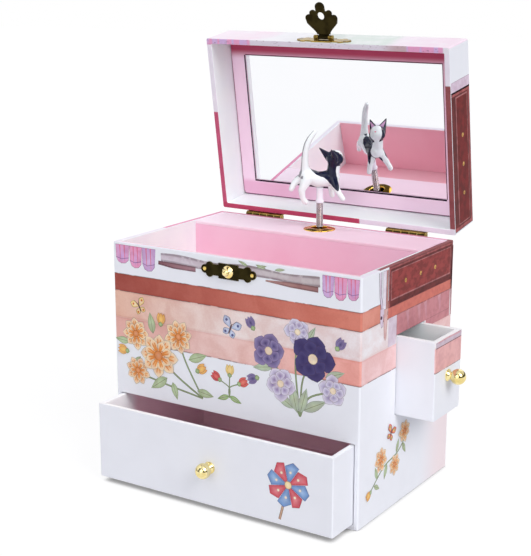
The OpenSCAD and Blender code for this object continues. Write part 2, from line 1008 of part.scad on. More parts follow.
// Cast plate with the cylinder's two lugs and the comb's rest
module bedplate() {
    color("silver")
        difference() {
            union() {
                box([bed_left_x, bed_y, bed_low_z], [bed_right_x, in_y, bed_high_z]);
                for (x = [lug_a_x, lug_b_x])
                    box([x - lug_t, spindle_y - lug_front, movement_z - lug_h / 2],
                        [x, bed_y + cut, movement_z + lug_h / 2]);
                box([cylinder_x - cylinder_l, spindle_y + comb_t / 2, comb_low_z],
                    [cylinder_x, bed_y + cut, comb_root_z]);
            }
            rod_x([lug_b_x - lug_t - cut, spindle_y, movement_z],
                  spindle_r + running_gap, lug_a_x - lug_b_x + lug_t + 2 * cut);
            rod_y([0, bed_y - cut, movement_z], arbor_r + running_gap, bedplate_t + 2 * cut);
            bed_screw_shanks(seat_gap);
            comb_screw_shanks(seat_gap);
        }
}

module movement_screws() {
    color("silver") {
        bed_screw_shanks(0);
        for (p = bed_screws)
            rod_y([p[0], half_d, p[1]], bed_head_r, bed_head_t);
    }
}

// Drum around the mainspring, open to the bedplate, with the arbor through its face
module spring_housing() {
    color("gold")
        difference() {
            rod_y([0, housing_y, movement_z], housing_r, bed_y - housing_y);
            rod_y([0, housing_y + housing_wall, movement_z],
                  housing_r - housing_wall, bed_y - housing_y);
            rod_y([0, housing_y - cut, movement_z],
                  arbor_r + running_gap, housing_wall + 2 * cut);
        }
}

// Point of the mainspring's spiral at an angle, at one face of the strip
function spiral(a, turn, shift) =
    let (inner = arbor_r + strip_gap)
    let (outer = housing_r - housing_wall - 2 * strip_t)
    let (r = inner + (outer - inner) * a / turn + shift)
    [r * cos(a), r * sin(a)];

module mainspring() {
    turn = 4 * 360;
    step = 15;
    color("steelblue")
        translate([0, bed_y - strip_gap, movement_z])
            rotate([90, 0, 0])
                linear_extrude(bed_y - housing_y - housing_wall - 2 * strip_gap)
                    polygon(concat(
                        [for (a = [0 : step : turn]) spiral(a, turn, 0)],
                        [for (a = [turn : -step : 0]) spiral(a, turn, strip_t)]
                    ));
}

module winding_arbor() {
    head_t = arbor_r * 0.5;
    color("silver") {
        rod_y([0, wheel_face_y, movement_z],
              arbor_r, key_y + key_stem_l - key_seat - wheel_face_y);
        rod_y([0, wheel_face_y - head_t, movement_z], arbor_r * 1.6, head_t);
    }
}

// Crown wheel: its teeth stand on the front face
module great_wheel() {
    tip = mesh_y - tooth_rise;
    root = wheel_face_y + tooth_gap;
    color("gold")
        difference() {
            union() {
                rod_y([0, wheel_face_y, movement_z], great_r + tooth_l * 0.7, wheel_t);
                for (i = [0 : great_teeth - 1])
                    translate([0, 0, movement_z])
                        rotate([0, (i + 0.5) * 360 / great_teeth, 0])
                            translate([great_r - tooth_l / 2, 0, 0])
                                rotate([90, 0, 90])
                                    linear_extrude(tooth_l)
                                        polygon([
                                            [root, -tooth_w * 0.7],
                                            [tip, -tooth_w * 0.3],
                                            [tip, tooth_w * 0.3],
                                            [root, tooth_w * 0.7]
                                        ]);
            }
            rod_y([0, wheel_face_y - cut, movement_z], arbor_r + seat_gap, wheel_t + 2 * cut);
        }
}

// Stem over the arbor's end and two flat round wings
module winding_key() {
    color("silver")
        difference() {
            union() {
                rod_y([0, key_y, movement_z], key_stem_r, key_stem_l);
                translate([0, key_y + key_stem_l - key_seat, movement_z - key_t / 2])
                    linear_extrude(key_t)
                        key_outline();
            }
            rod_y([0, key_y - cut, movement_z], arbor_r + seat_gap, key_stem_l - key_seat + cut);
        }
}

// Outline of the key's bow from its root outwards along Y: two pierced wings on a short neck
module key_outline() {
    wing_x = key_w / 2 - key_wing_r;
    wing_y = key_neck_l - key_wing_r / 2;
    difference() {
        union() {
            translate([-key_neck_w / 2, 0])
                square([key_neck_w, key_neck_l]);
            for (s = [-1, 1])
                translate([s * wing_x, wing_y])
                    circle(key_wing_r);
        }
        for (s = [-1, 1])
            translate([s * wing_x, wing_y])
                circle(key_wing_r / 2);
    }
}

// Pinion with eight wide-set teeth along +Z
module great_pinion(bore) {
    spur(pinion_teeth, pinion_r, tooth_rise, tooth_w, pinion_w, bore);
}

// Cylinder with its pins, arbor, pinion and wheel
module note_cylinder() {
    golden_angle = 137.5;
    color("gold") {
        rod_x([cylinder_x - cylinder_l, spindle_y, movement_z], cylinder_r, cylinder_l);
        for (i = [0 : comb_teeth * 3 - 1])
            translate([cylinder_x - (i % comb_teeth + 0.5) * cylinder_l / comb_teeth,
                       spindle_y, movement_z])
                rotate([i * golden_angle, 0, 0])
                    cylinder(r = pin_r, h = cylinder_r + pin_h, $fn = 16);
        rod_x([train_x - train_w, spindle_y, movement_z], spindle_r,
              -great_r + pinion_w / 2 - train_x + train_w);
        translate([-great_r - pinion_w / 2, spindle_y, movement_z])
            rotate([0, 90, 0])
                rotate(90)
                    great_pinion(0);
        translate([train_x - train_w, spindle_y, movement_z])
            rotate([0, 90, 0])
                rotate(180)
                    spur(train_wheel_teeth, train_r, train_rise, train_tooth_w, train_w, 0);
    }
}

// Steel comb: a plate slit into tuned teeth that point at the cylinder
module tone_comb() {
    pitch = cylinder_l / comb_teeth;
    color("lightsteelblue")
        difference() {
            box([cylinder_x - cylinder_l, spindle_y - comb_t / 2, comb_low_z],
                [cylinder_x, spindle_y + comb_t / 2, comb_tip_z]);
            for (i = [1 : comb_teeth - 1])
                box([cylinder_x - i * pitch - comb_slit / 2, spindle_y - comb_t, comb_root_z],
                    [cylinder_x - i * pitch + comb_slit / 2, spindle_y + comb_t,
                     comb_tip_z + cut]);
            comb_screw_shanks(seat_gap);
        }
}

module comb_screws() {
    color("silver") {
        comb_screw_shanks(0);
        for (s = [-1, 1])
            rod_y([cylinder_x - cylinder_l / 2 + s * cylinder_l / 4,
                   spindle_y - comb_t / 2 - comb_head_t, comb_screw_z],
                  comb_head_r, comb_head_t);
    }
}

// Bent frame: a foot on the bedplate, two ears for the wheel, two plates for the fan
module governor_frame() {
    plate_y = worm_y - ear_r;
    color("silver")
        difference() {
            union() {
                box([ear_x - ear_t, bed_y - frame_t, governor_low_z],
                    [lug_b_x, bed_y, governor_high_z + ear_t]);
                for (x = [lug_b_x - ear_t, ear_x - ear_t])
                    box([x, spindle_y - ear_r, governor_z - ear_r],
                        [x + ear_t, bed_y - frame_t + cut, governor_z + ear_r]);
                for (z = [governor_low_z, governor_high_z])
                    box([ear_x - ear_t, plate_y, z],
                        [train_x - train_w - ear_t / 2, bed_y - frame_t + cut, z + ear_t]);
            }
            rod_x([ear_x - 2 * ear_t, spindle_y, governor_z], shaft_r + running_gap,
                  lug_b_x - ear_x + 3 * ear_t);
            rod_z([worm_x, worm_y, governor_low_z - cut], shaft_r + running_gap,
                  governor_high_z - governor_low_z + 2 * ear_t);
        }
}

// Pinion and worm wheel on one arbor, along X
module governor_wheel() {
    color("gold") {
        rod_x([ear_x - ear_t, spindle_y, governor_z], shaft_r, lug_b_x - ear_x + ear_t);
        translate([train_x - train_w, spindle_y, governor_z])
            rotate([0, 90, 0])
                rotate(180 / train_pinion_teeth)
                    spur(train_pinion_teeth, train_pinion_r, train_rise, train_tooth_w,
                         train_w, 0);
        translate([worm_x - worm_wheel_t / 2, spindle_y, governor_z])
            rotate([0, 90, 0])
                rotate(-90)
                    spur(worm_wheel_teeth, worm_wheel_r - root_gap, worm_tooth_rise,
                         worm_tooth_w, worm_wheel_t, 0);
    }
}

// Worm and two-bladed fan on an upright shaft
module air_fan() {
    twist = 360 * worm_l / worm_lead;
    color("gold") {
        rod_z([worm_x, worm_y, governor_low_z], shaft_r,
              governor_high_z + ear_t - governor_low_z);
        translate([worm_x, worm_y, governor_z - worm_l / 2])
            rotate(-90 - twist / 2)
                linear_extrude(worm_l, twist = -twist, slices = 48)
                    translate([worm_offset, 0])
                        circle(worm_core_r, $fn = 12);
        box([worm_x - fan_r, worm_y - fan_t / 2, governor_z + fan_low],
            [worm_x + fan_r, worm_y + fan_t / 2, governor_z + fan_high]);
    }
}

// Two arms that carry the spindle
module spindle_bracket() {
    color("silver")
        difference() {
            union() {
                box([-bracket_w / 2, bed_y - frame_t, arm_low_z],
                    [bracket_w / 2, bed_y, arm_high_z + arm_t]);
                for (z = [arm_low_z, arm_high_z])
                    box([-bracket_w / 2, spindle_y - arm_front, z],
                        [bracket_w / 2, bed_y - frame_t + cut, z + arm_t]);
            }
            rod_z([0, spindle_y, arm_low_z - cut],
                  spindle_r + running_gap, arm_high_z - arm_low_z + arm_t + 2 * cut);
        }
}

module spindle() {
    low = movement_z + great_r - pinion_w / 2;
    color("silver") {
        rod_z([0, spindle_y, low], spindle_r, body_h + spring_foot - low);
        translate([0, spindle_y, low])
            rotate(90)
                great_pinion(0);
        rod_z([0, spindle_y, arm_high_z + arm_t + side_gap], 2 * spindle_r, spindle_collar_t);
    }
}

// ---------- figure ----------

// Close-wound spring under the figure, as its outer tube
module coil_spring() {
    color("silver")
        rod_z([0, spindle_y, body_h + spring_foot], post_r, post_h - spring_foot);
}

module figure_collar() {
    color("white")
        rod_z([0, spindle_y, collar_z], collar_r, collar_l);
}

// The kitten walks along +X in its own frame, with the collar under its belly
module kitten() {
    color("white")
        translate([0, spindle_y, kitten_z])
            rotate(kitten_heading)
                difference() {
                    kitten_body();
                    translate([0, 0, -collar_l])
                        cylinder(r = collar_r + seat_gap, h = collar_l);
                }
}

// Links of the kitten, scaled to its own length
module kitten_chain(links) {
    chain([for (link = links) [for (v = link) kitten_scale * v]]);
}

module kitten_body() {
    kitten_chain([[-8.6, 0, 8.2, 4.7], [-1.3, 0, 5.1, 5.1], [7.6, 0, 6.4, 5.2]]);
    kitten_chain([[7.7, 0, 8, 4.5], [8.5, 0, 13.5, 3.9], [8.7, 0, 18.1, 5.2]]);
    kitten_chain([[9.9, 0.9, 19.4, 4], [11.3, 1.8, 20.9, 2.3]]);
    kitten_chain([[8.7, -3.9, 21, 2.2], [6.4, -7.2, 25.2, 0.8]]);
    kitten_chain([[5.1, 1.4, 21, 2.2], [0.5, 0.9, 25.2, 0.8]]);
    kitten_chain([[-8.8, 0, 9, 3.8], [-9.5, 0, 16, 2.4], [-9.3, 0, 22, 2.1],
                  [-8.2, 0, 27, 1.9], [-5.6, 0, 31, 1.6], [-3.1, 0, 33.8, 1.1]]);
    kitten_chain([[8.2, -2.6, 5, 3.3], [10.1, -3.2, -1, 2], [11.6, -3.2, -3.8, 1.8],
                  [13.4, -3.2, -6.8, 1.8]]);
    kitten_chain([[7, 2.8, 4, 3], [7.8, 3.2, -2.1, 1.8], [8.7, 3.2, -5.2, 1.6]]);
    kitten_chain([[-8.6, -2.8, 5.5, 3.6], [-11.7, -3.4, -0.6, 2.3], [-11.2, -3.4, -5.2, 1.9],
                  [-9.6, -3.4, -8, 1.8]]);
    kitten_chain([[-9.5, 2.8, 6.5, 3.4], [-14, 3.4, 4.2, 2.4], [-16.2, 3.4, 1.9, 2],
                  [-17.7, 3.4, -1.3, 1.7]]);
}

bottom_panel();
left_side_panel();
right_side_panel();
front_panel();
back_panel();
drawer_shelf();
side_drawer_bay();
tray_floor();
deck_wall();
deck_panel();
tray_liner();
spindle_ring();
catch_plate();
catch_stud();
catch_pins();
hinge_body_leaves();
hinge_body_screws();
bedplate();
movement_screws();
spring_housing();
mainspring();
tone_comb();
comb_screws();
governor_frame();
spindle_bracket();
winding_key();
winding_arbor();
great_wheel();
note_cylinder();
governor_wheel();
air_fan();
spindle();
coil_spring();
figure_collar();
kitten();
lid_top_panel();
lid_front_wall();
lid_back_wall();
lid_side_walls();
mirror();
mirror_mat();
hinge_lid_leaves();
hinge_lid_screws();
hinge_pins();
hasp_plate();
hasp_pin();
hasp();
front_drawer_face();
front_drawer_sides();
front_drawer_back();
front_drawer_bottom();
front_drawer_knob();
front_knob_screw();
side_drawer_face();
side_drawer_sides();
side_drawer_back();
side_drawer_bottom();
side_drawer_knob();
side_knob_screw();
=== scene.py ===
"""Dresses the wind-up music box: paper and print, brass, mirror, kitten, light and camera.

Shapes are drawn in millimetres in the frame of the CAD model and put down in metres. Pieces of
the lid are drawn on the closed lid and swung open about the hinge.
"""
import json
import random
from math import atan2, cos, degrees, hypot, log, pi, radians, sin, sqrt, tau

import bmesh
import bpy
from mathutils import Matrix, Vector


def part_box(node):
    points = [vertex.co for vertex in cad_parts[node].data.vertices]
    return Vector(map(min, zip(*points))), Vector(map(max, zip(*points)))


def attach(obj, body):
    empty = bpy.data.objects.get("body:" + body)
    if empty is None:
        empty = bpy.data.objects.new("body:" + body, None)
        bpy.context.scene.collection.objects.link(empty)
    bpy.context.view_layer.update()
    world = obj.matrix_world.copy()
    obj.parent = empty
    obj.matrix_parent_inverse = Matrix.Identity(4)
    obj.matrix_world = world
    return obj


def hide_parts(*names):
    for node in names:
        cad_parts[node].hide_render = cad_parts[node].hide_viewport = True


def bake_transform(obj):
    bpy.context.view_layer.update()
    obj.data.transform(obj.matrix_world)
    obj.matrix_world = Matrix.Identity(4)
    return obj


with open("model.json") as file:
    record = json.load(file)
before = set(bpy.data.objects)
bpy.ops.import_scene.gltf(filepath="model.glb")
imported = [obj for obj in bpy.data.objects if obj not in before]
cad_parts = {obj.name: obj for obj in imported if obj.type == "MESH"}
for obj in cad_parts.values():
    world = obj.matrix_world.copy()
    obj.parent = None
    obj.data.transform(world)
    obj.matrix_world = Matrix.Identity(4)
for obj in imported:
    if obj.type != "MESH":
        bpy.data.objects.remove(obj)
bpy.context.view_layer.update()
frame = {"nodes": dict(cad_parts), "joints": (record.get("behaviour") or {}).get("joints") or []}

MM = 0.001
scene = bpy.context.scene
dice = random.Random(7)

# ---------- sizes, from the CAD nodes ----------


def corners(node):
    """Lowest and highest corner of a CAD node, in millimetres."""
    low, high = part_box(node)
    return Vector(low) / MM, Vector(high) / MM


joints = {j["name"]: j for j in frame["joints"]}


def pivot(name):
    return Vector(joints[name]["pos_m"]) / MM


side_low, case_high = corners("right_side_panel")
HALF_W, HALF_D, RIM_Z = case_high
BOARD_T = HALF_W - side_low.x
IN_X, IN_Y = HALF_W - BOARD_T, HALF_D - BOARD_T
BOTTOM_Z = corners("bottom_panel")[1].z
FRONT_OPEN_Z = corners("front_panel")[0].z
FLOOR_Z = corners("tray_floor")[1].z
DECK_LOW, DECK_HIGH = corners("deck_panel")
BAY_LOW, BAY_HIGH = corners("side_drawer_bay")
HINGE = pivot("lid_hinge")
LID_OPEN = radians(-min(joints["lid_hinge"]["range_deg"]))
SPINDLE = pivot("figure_spin").to_2d()
COLLAR_LOW, COLLAR_HIGH = corners("figure_collar")
OPENED = (Matrix.Translation(HINGE) @ Matrix.Rotation(-LID_OPEN, 4, "X")
          @ Matrix.Translation(-HINGE))
IN_METRES = Matrix.Diagonal((MM, MM, MM, 1))


def closed_corners(node):
    """Corners of a lid node as it lies on the closed lid, in millimetres."""
    shut = OPENED.inverted()
    points = [shut @ (v.co / MM) for v in frame["nodes"][node].data.vertices]
    return (Vector(min(p[i] for p in points) for i in range(3)),
            Vector(max(p[i] for p in points) for i in range(3)))


LID_TOP_Z = closed_corners("lid_top_panel")[1].z
LID_TOP_T = LID_TOP_Z - closed_corners("lid_top_panel")[0].z
LID_WALL_T = HALF_D + closed_corners("lid_front_wall")[1].y
LID_IN_X, LID_IN_Y = HALF_W - LID_WALL_T, HALF_D - LID_WALL_T

# ---------- colours and materials ----------


def srgb(red, green, blue):
    """A colour written as 0 to 255, as the linear RGBA that a shader takes."""
    def linear(value):
        value /= 255
        return value / 12.92 if value <= 0.04045 else ((value + 0.055) / 1.055) ** 2.4
    return (linear(red), linear(green), linear(blue), 1)


class Signal:
    """What a shader node puts out, with plain arithmetic."""

    def __init__(self, graph, socket):
        self.graph, self.socket = graph, socket

    def __add__(self, other):
        return self.graph.math("ADD", self, other)

    def __sub__(self, other):
        return self.graph.math("SUBTRACT", self, other)

    def __mul__(self, other):
        return self.graph.math("MULTIPLY", self, other)

    def __abs__(self):
        return self.graph.math("ABSOLUTE", self)

    def either(self, other):
        return self.graph.math("MAXIMUM", self, other)

    def step(self, low, high):
        """0 up to low, 1 from high on, smooth between; high may lie below low."""
        return self.graph.signal("ShaderNodeMapRange", self, low, high,
                                 interpolation_type="SMOOTHSTEP")


class Graph:
    """Shader nodes under construction: most methods add a node and return what it puts out."""

    def __init__(self, tree):
        self.tree = tree

    def feed(self, socket, value):
        """Links a signal or sets a value; three numbers on a colour are an sRGB colour."""
        if isinstance(value, Signal):
            self.tree.links.new(value.socket, socket)
        elif socket.type == "RGBA" and len(value) == 3:
            socket.default_value = srgb(*value)
        else:
            socket.default_value = value

    def add(self, kind, *inputs, **settings):
        """Adds a node; inputs fill its sockets in order, settings are its properties."""
        node = self.tree.nodes.new(kind)
        for key, value in settings.items():
            setattr(node, key, value)
        for socket, value in zip(node.inputs, inputs):
            self.feed(socket, value)
        return node

    def signal(self, kind, *inputs, take=0, **settings):
        return Signal(self, self.add(kind, *inputs, **settings).outputs[take])

    def split(self, vector):
        return [Signal(self, out) for out in self.add("ShaderNodeSeparateXYZ", vector).outputs]

    def math(self, operation, *inputs, clamp=False):
        return self.signal("ShaderNodeMath", *inputs, operation=operation, use_clamp=clamp)

    def rays(self, *kinds):
        """1 for rays of any of these kinds."""
        path = self.add("ShaderNodeLightPath").outputs
        seen, *others = [Signal(self, path[f"Is {kind} Ray"]) for kind in kinds]
        for other in others:
            seen = seen.either(other)
        return seen

    def ramp(self, value, *stops):
        node = self.add("ShaderNodeValToRGB", value)
        marks = node.color_ramp.elements
        while len(marks) < len(stops):
            marks.new(0.5)
        for mark, (place, colour) in zip(marks, stops):
            mark.position = place
            mark.color = srgb(*colour)
        return Signal(self, node.outputs[0])

    def mix(self, amount, under, over, blend="MIX"):
        node = self.add("ShaderNodeMix", data_type="RGBA", blend_type=blend)
        for key, value in (("Factor", amount), (6, under), (7, over)):
            self.feed(node.inputs[key], value)
        return Signal(self, node.outputs[2])


class Paint(Graph):
    """A material: a graph that ends in one principled shader.

    point, x, y and z are the place on the surface in the piece's own millimetres.
    """

    def __init__(self, name, **values):
        self.material = bpy.data.materials.new(name)
        self.material.use_nodes = True
        super().__init__(self.material.node_tree)
        self.shader = self.tree.nodes["Principled BSDF"]
        for key, value in values.items():
            self.shader.inputs[key.replace("_", " ")].default_value = value
        metres = self.signal("ShaderNodeTexCoord", take="Object")
        node = self.add("ShaderNodeVectorMath", metres, operation="SCALE")
        node.inputs["Scale"].default_value = 1 / MM
        self.point = Signal(self, node.outputs[0])
        self.x, self.y, self.z = self.split(self.point)

    def set(self, socket, value):
        self.feed(self.shader.inputs[socket], value)

    def stretch(self, *factors):
        return self.signal("ShaderNodeVectorMath", self.point, factors, operation="MULTIPLY")

    def noise(self, size, detail=3, warp=0, at=None):
        """Noise whose lumps are about size millimetres across."""
        node = self.add("ShaderNodeTexNoise", at or self.point)
        for key, value in (("Scale", 1 / size), ("Detail", detail), ("Distortion", warp)):
            node.inputs[key].default_value = value
        return Signal(self, node.outputs["Fac"])

    def bump(self, height, depth, strength):
        """Bump of a depth in millimetres."""
        node = self.add("ShaderNodeBump")
        for key, value in (("Strength", strength), ("Distance", depth * MM), ("Height", height)):
            self.feed(node.inputs[key], value)
        self.set("Normal", Signal(self, node.outputs[0]))

    def paper(self, colour, tooth=0.3):
        """The finished material: a colour on the fine tooth of paper."""
        self.set("Base Color", colour)
        self.bump(self.noise(0.9, detail=4), 0.05, tooth)
        return self.material


SHEEN_OF_PAPER = 0.2    # specular level of matt printed paper
CARD_TOOTH = 0.35


def sheet(name, roughness=0.5):
    """Blank matt paper."""
    return Paint(name, Roughness=roughness, Specular_IOR_Level=SHEEN_OF_PAPER)


def grained(name, colour, shade, size=14, roughness=0.5, specular=SHEEN_OF_PAPER):
    """Paper, card or plastic of one colour, mottled towards a shade."""
    paint = Paint(name, Roughness=roughness, Specular_IOR_Level=specular)
    blotch = paint.noise(size, detail=4).step(0.3, 0.75)
    return paint.paper(paint.mix(blotch, colour, shade), CARD_TOOTH)


WHITE, WHITE_SHADE = (243, 244, 250), (241, 242, 248)
white_paper = grained("white_paper", WHITE, WHITE_SHADE)
lilac_paper = grained("lilac_white_lining", (240, 247, 247), (236, 242, 245))
clean_paper = grained("clean_white_lining", (250, 255, 255), (247, 253, 255))
pink_paper = grained("pink_lining", (248, 207, 227), (245, 197, 220), 30)
blush_paper = grained("blush_lining", (250, 196, 206), (246, 186, 198), 30)
rose_paper = grained("rose_lining", (254, 218, 228), (248, 206, 218), 30)
collar_plastic = grained("collar_plastic", (246, 243, 250), (238, 234, 246), 4, 0.2, 0.5)
fan_plastic = grained("fan_plastic", (232, 232, 226), (216, 216, 210), 4, 0.35, 0.5)

# Painted light on the deck card: palest at its left, deeper pink towards its right.
DECK_PAINTED_LIGHT = (-80, 70)   # from the left of the deck, where it is palest, to the right


def deck_card():
    """Pink card of the deck, with painted light that leaves it palest at the left and deeper
    towards the right.
    """
    paint = sheet("pink_deck_paper")
    share = paint.signal("ShaderNodeMapRange", paint.x, *DECK_PAINTED_LIGHT) - 0.15
    share = paint.math("ADD", share, paint.noise(30) * 0.3, clamp=True)
    return paint.paper(paint.mix(share, (252, 236, 247), (251, 214, 231)), CARD_TOOTH)


def polished_brass(name, colour=(246, 232, 176), tint=(232, 208, 132), roughness=0.08):
    """Brass, a little cloudy, with fine wear in its polish."""
    paint = Paint(name, Metallic=1.0, Roughness=roughness)
    cloud, wear = paint.noise(5, detail=4).step(0.35, 0.7), paint.noise(1.4, detail=6)
    paint.set("Base Color", paint.mix(cloud, colour, tint))
    paint.set("Roughness", wear * 0.16 + (roughness - 0.06))
    paint.bump(wear, 0.02, 0.3)
    return paint.material


def brushed_metal(name, colour, shade, roughness=0.3, line=(1, 1, 30)):
    paint = Paint(name, Metallic=1.0, Roughness=roughness)
    streak = paint.noise(6, detail=5, at=paint.stretch(*line))
    paint.set("Base Color", paint.mix(streak, colour, shade))
    paint.set("Roughness", streak * 0.2 + (roughness - 0.1))
    paint.bump(streak, 0.02, 0.3)
    return paint.material


brass = polished_brass("polished_brass")
stud_brass = polished_brass("stud_brass", (255, 240, 190), (246, 214, 130), 0.07)
gold_brass = polished_brass("gold_brass", (254, 216, 112), (234, 174, 64))
edge_brass = polished_brass("rough_edge_brass", (254, 232, 150), (236, 198, 100), 0.36)
# Painted reflection: the plate brass and the dark edge brass are coloured near black for the dark
# room they reflect.
dark_edge_brass = polished_brass("dark_edge_brass", (96, 80, 42), (60, 50, 26), 0.2)
dark_reflection_brass = polished_brass("dark_reflection_brass", (52, 45, 22), (36, 30, 14), 0.16)
old_brass = polished_brass("old_brass", (176, 148, 76), (120, 98, 44), 0.2)
hinge_brass = polished_brass("hinge_brass", (168, 144, 78), (120, 98, 48), 0.12)
screw_brass = polished_brass("screw_brass", (214, 178, 96), (176, 138, 62), 0.22)
bright_steel = brushed_metal("bright_edge_steel", (232, 230, 234), (206, 204, 210), 0.2)
steel = brushed_metal("bright_steel", (214, 210, 214), (176, 172, 178))
spring_steel = brushed_metal("spring_steel", (224, 218, 222), (176, 164, 168), 0.16)
zinc = brushed_metal("cast_zinc", (168, 170, 176), (140, 142, 148), 0.45, (4, 4, 4))
movement_brass = brushed_metal("movement_brass", (226, 190, 104), (200, 160, 78), 0.28, (1, 30, 1))

GLASS_LEAN = radians(0.5)   # the glass sits a little off square in its mat


def looking_glass():
    paint = Paint("mirror_glass", Metallic=1.0, Roughness=0.01)
    paint.set("Base Color", paint.mix(paint.noise(40, detail=2), (250, 250, 252), (246, 248, 250)))
    lean = paint.add("ShaderNodeVectorRotate", rotation_type="X_AXIS")
    lean.inputs["Angle"].default_value = GLASS_LEAN
    paint.feed(lean.inputs["Vector"], paint.signal("ShaderNodeNewGeometry", take="Normal"))
    paint.set("Normal", Signal(paint, lean.outputs[0]))
    return paint.material


# ---------- mesh tools ----------


def link(name, mesh, body, place=None, replaces=()):
    """Puts a mesh drawn in millimetres into the scene, riding on a body."""
    mesh.name = name
    mesh.transform(IN_METRES)
    thing = bpy.data.objects.new(name, mesh)
    scene.collection.objects.link(thing)
    if place is not None:
        thing.matrix_world = IN_METRES @ place @ IN_METRES.inverted()
    if body:
        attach(thing, body)
    if replaces:
        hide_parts(*replaces)
    return thing


def frozen(bm):
    """A bmesh as a plain mesh."""
    mesh = bpy.data.meshes.new("mesh")
    bm.to_mesh(mesh)
    bm.free()
    return mesh


def thawed(mesh):
    """A mesh as a bmesh again."""
    bm = bmesh.new()
    bm.from_mesh(mesh)
    return bm


def to_mesh(bm, *materials, smooth_angle=40):
    """A bmesh as a mesh with smooth shading under an angle."""
    bmesh.ops.recalc_face_normals(bm, faces=bm.faces)
    for face in bm.faces:
        face.smooth = True
    for edge in bm.edges:
        edge.smooth = edge.calc_face_angle(0) < radians(smooth_angle)
    mesh = frozen(bm)
    for material in materials:
        mesh.materials.append(material)
    return mesh


def box_bm(low, high):
    bm = bmesh.new()
    bmesh.ops.create_cube(bm, size=1)
    for vert in bm.verts:
        vert.co = [low[i] + (vert.co[i] + 0.5) * (high[i] - low[i]) for i in range(3)]
    return bm


def modified(mesh, *modifiers):
    """The mesh with modifiers applied, each a kind and its settings."""
    thing = bpy.data.objects.new("work", mesh)
    scene.collection.objects.link(thing)
    for kind, settings in modifiers:
        modifier = thing.modifiers.new(kind, kind)
        for key, value in settings.items():
            setattr(modifier, key, value)
    shape = bpy.context.evaluated_depsgraph_get()
    result = bpy.data.meshes.new_from_object(thing.evaluated_get(shape))
    bpy.data.objects.remove(thing)
    return result


def cut(mesh, cutter_bm):
    """The mesh with a closed shape taken out of it."""
    bmesh.ops.recalc_face_normals(cutter_bm, faces=cutter_bm.faces)
    cutter = bpy.data.objects.new("cutter", frozen(cutter_bm))
    scene.collection.objects.link(cutter)
    result = modified(mesh, ("BOOLEAN", {"operation": "DIFFERENCE", "solver": "EXACT",
                                         "object": cutter}))
    bpy.data.objects.remove(cutter)
    return result


def eased(bm, width, angle):
    """Rounds every edge that is sharper than an angle."""
    sharp = [e for e in bm.edges if e.calc_face_angle(0) > radians(angle)]
    bmesh.ops.bevel(bm, geom=sharp, offset=width, segments=2, profile=0.5, affect="EDGES",
                    clamp_overlap=True)
    return bm


def hollowed(bm, cutters, edge_r):
    """A closed shape with others cut away and every edge eased."""
    bmesh.ops.recalc_face_normals(bm, faces=bm.faces)
    mesh = frozen(bm)
    for cutter in cutters:
        mesh = cut(mesh, cutter)
    bm = thawed(mesh)
    bmesh.ops.remove_doubles(bm, verts=bm.verts, dist=1e-4)
    bmesh.ops.dissolve_limit(bm, angle_limit=radians(1), verts=bm.verts, edges=bm.edges)
    return eased(bm, edge_r, 50)


def shell(low, high, cutters, corner_r, edge_r):
    """A block with rounded upright corners, shapes cut away and every edge eased."""
    bm = box_bm(low, high)
    upright = [e for e in bm.edges
               if (e.verts[0].co.xy - e.verts[1].co.xy).length < 1e-4]
    bmesh.ops.bevel(bm, geom=upright, offset=corner_r, segments=5, profile=0.5, affect="EDGES")
    return hollowed(bm, cutters, edge_r)


def hold_flats(thing):
    """Keeps big flat faces flat in the shading."""
    modifier = thing.modifiers.new("flats", "WEIGHTED_NORMAL")
    modifier.keep_sharp = True
    modifier.weight = 100


def paint_faces(bm, choose):
    """Gives each face the material index that choose(centre, normal) names."""
    bm.normal_update()
    for face in bm.faces:
        face.material_index = choose(face.calc_center_median(), face.normal)


def turned(point, angles):
    """Points of a profile's bend: point(cosine, sine) for each angle in degrees."""
    return [point(cos(radians(a)), sin(radians(a))) for a in angles]


def skin(bm, rings, sides):
    """Faces between rings of verts; a ring of one vert is a tip."""
    for a, b in zip(rings, rings[1:]):
        for k in range(sides):
            n = (k + 1) % sides
            face = (a[k % len(a)], a[n % len(a)], b[n % len(b)], b[k % len(b)])
            face = list(dict.fromkeys(face))
            if len(face) > 2:
                bm.faces.new(face)


def lathe(profile, turns=48):
    """A turned shape about Z through (radius, height) points, closed on the axis."""
    bm = bmesh.new()
    rings = []
    for radius, height in profile:
        if radius < 1e-6:
            rings.append([bm.verts.new((0, 0, height))])
        else:
            rings.append([bm.verts.new((radius * cos(tau * k / turns),
                                        radius * sin(tau * k / turns), height))
                          for k in range(turns)])
    skin(bm, rings, turns)
    return bm


def moved(bm, matrix):
    bmesh.ops.transform(bm, matrix=matrix, verts=bm.verts)
    return bm


def joined(*parts):
    """One bmesh from several."""
    whole = bmesh.new()
    for part in parts:
        mesh = frozen(part)
        whole.from_mesh(mesh)
        bpy.data.meshes.remove(mesh)
    return whole


def dress(material, *nodes, ease=0.0, edge=None):
    """Gives CAD nodes a material and, where asked, eased edges in another, brighter one."""
    for node in nodes:
        thing = frame["nodes"][node]
        thing.data.materials.clear()
        thing.data.materials.append(material)
        if ease:
            thing.modifiers.new("weld", "WELD").merge_threshold = 1e-6
            bevel = thing.modifiers.new("ease", "BEVEL")
            bevel.width = ease * MM
            bevel.segments = 2
            bevel.limit_method = "ANGLE"
            bevel.angle_limit = radians(50)
            bevel.harden_normals = False
            hold_flats(thing)
        if edge:
            thing.data.materials.append(edge)
            bevel.material = 1


# ---------- printed paper ----------

INK = (96, 50, 48)
BANDS = (  # low and high edge above the table; wash at the front's left, middle and right, and
    # on the sides
    (84.4, 98.8, (236, 184, 174), (244, 212, 206), (248, 180, 170), (250, 214, 214)),
    (98.8, 115.3, (238, 194, 174), (247, 232, 228), (247, 238, 240), (249, 247, 250)),
    (115.3, 125.8, (168, 84, 74), (200, 113, 98), (224, 138, 120), (232, 156, 138)),
)
INKED = (BANDS[0][0], BANDS[2][0], BANDS[2][1])     # levels with a pen line
SIDE_BOARD = (-26.4, 121.4)     # front and low edge of the board painted on the right side


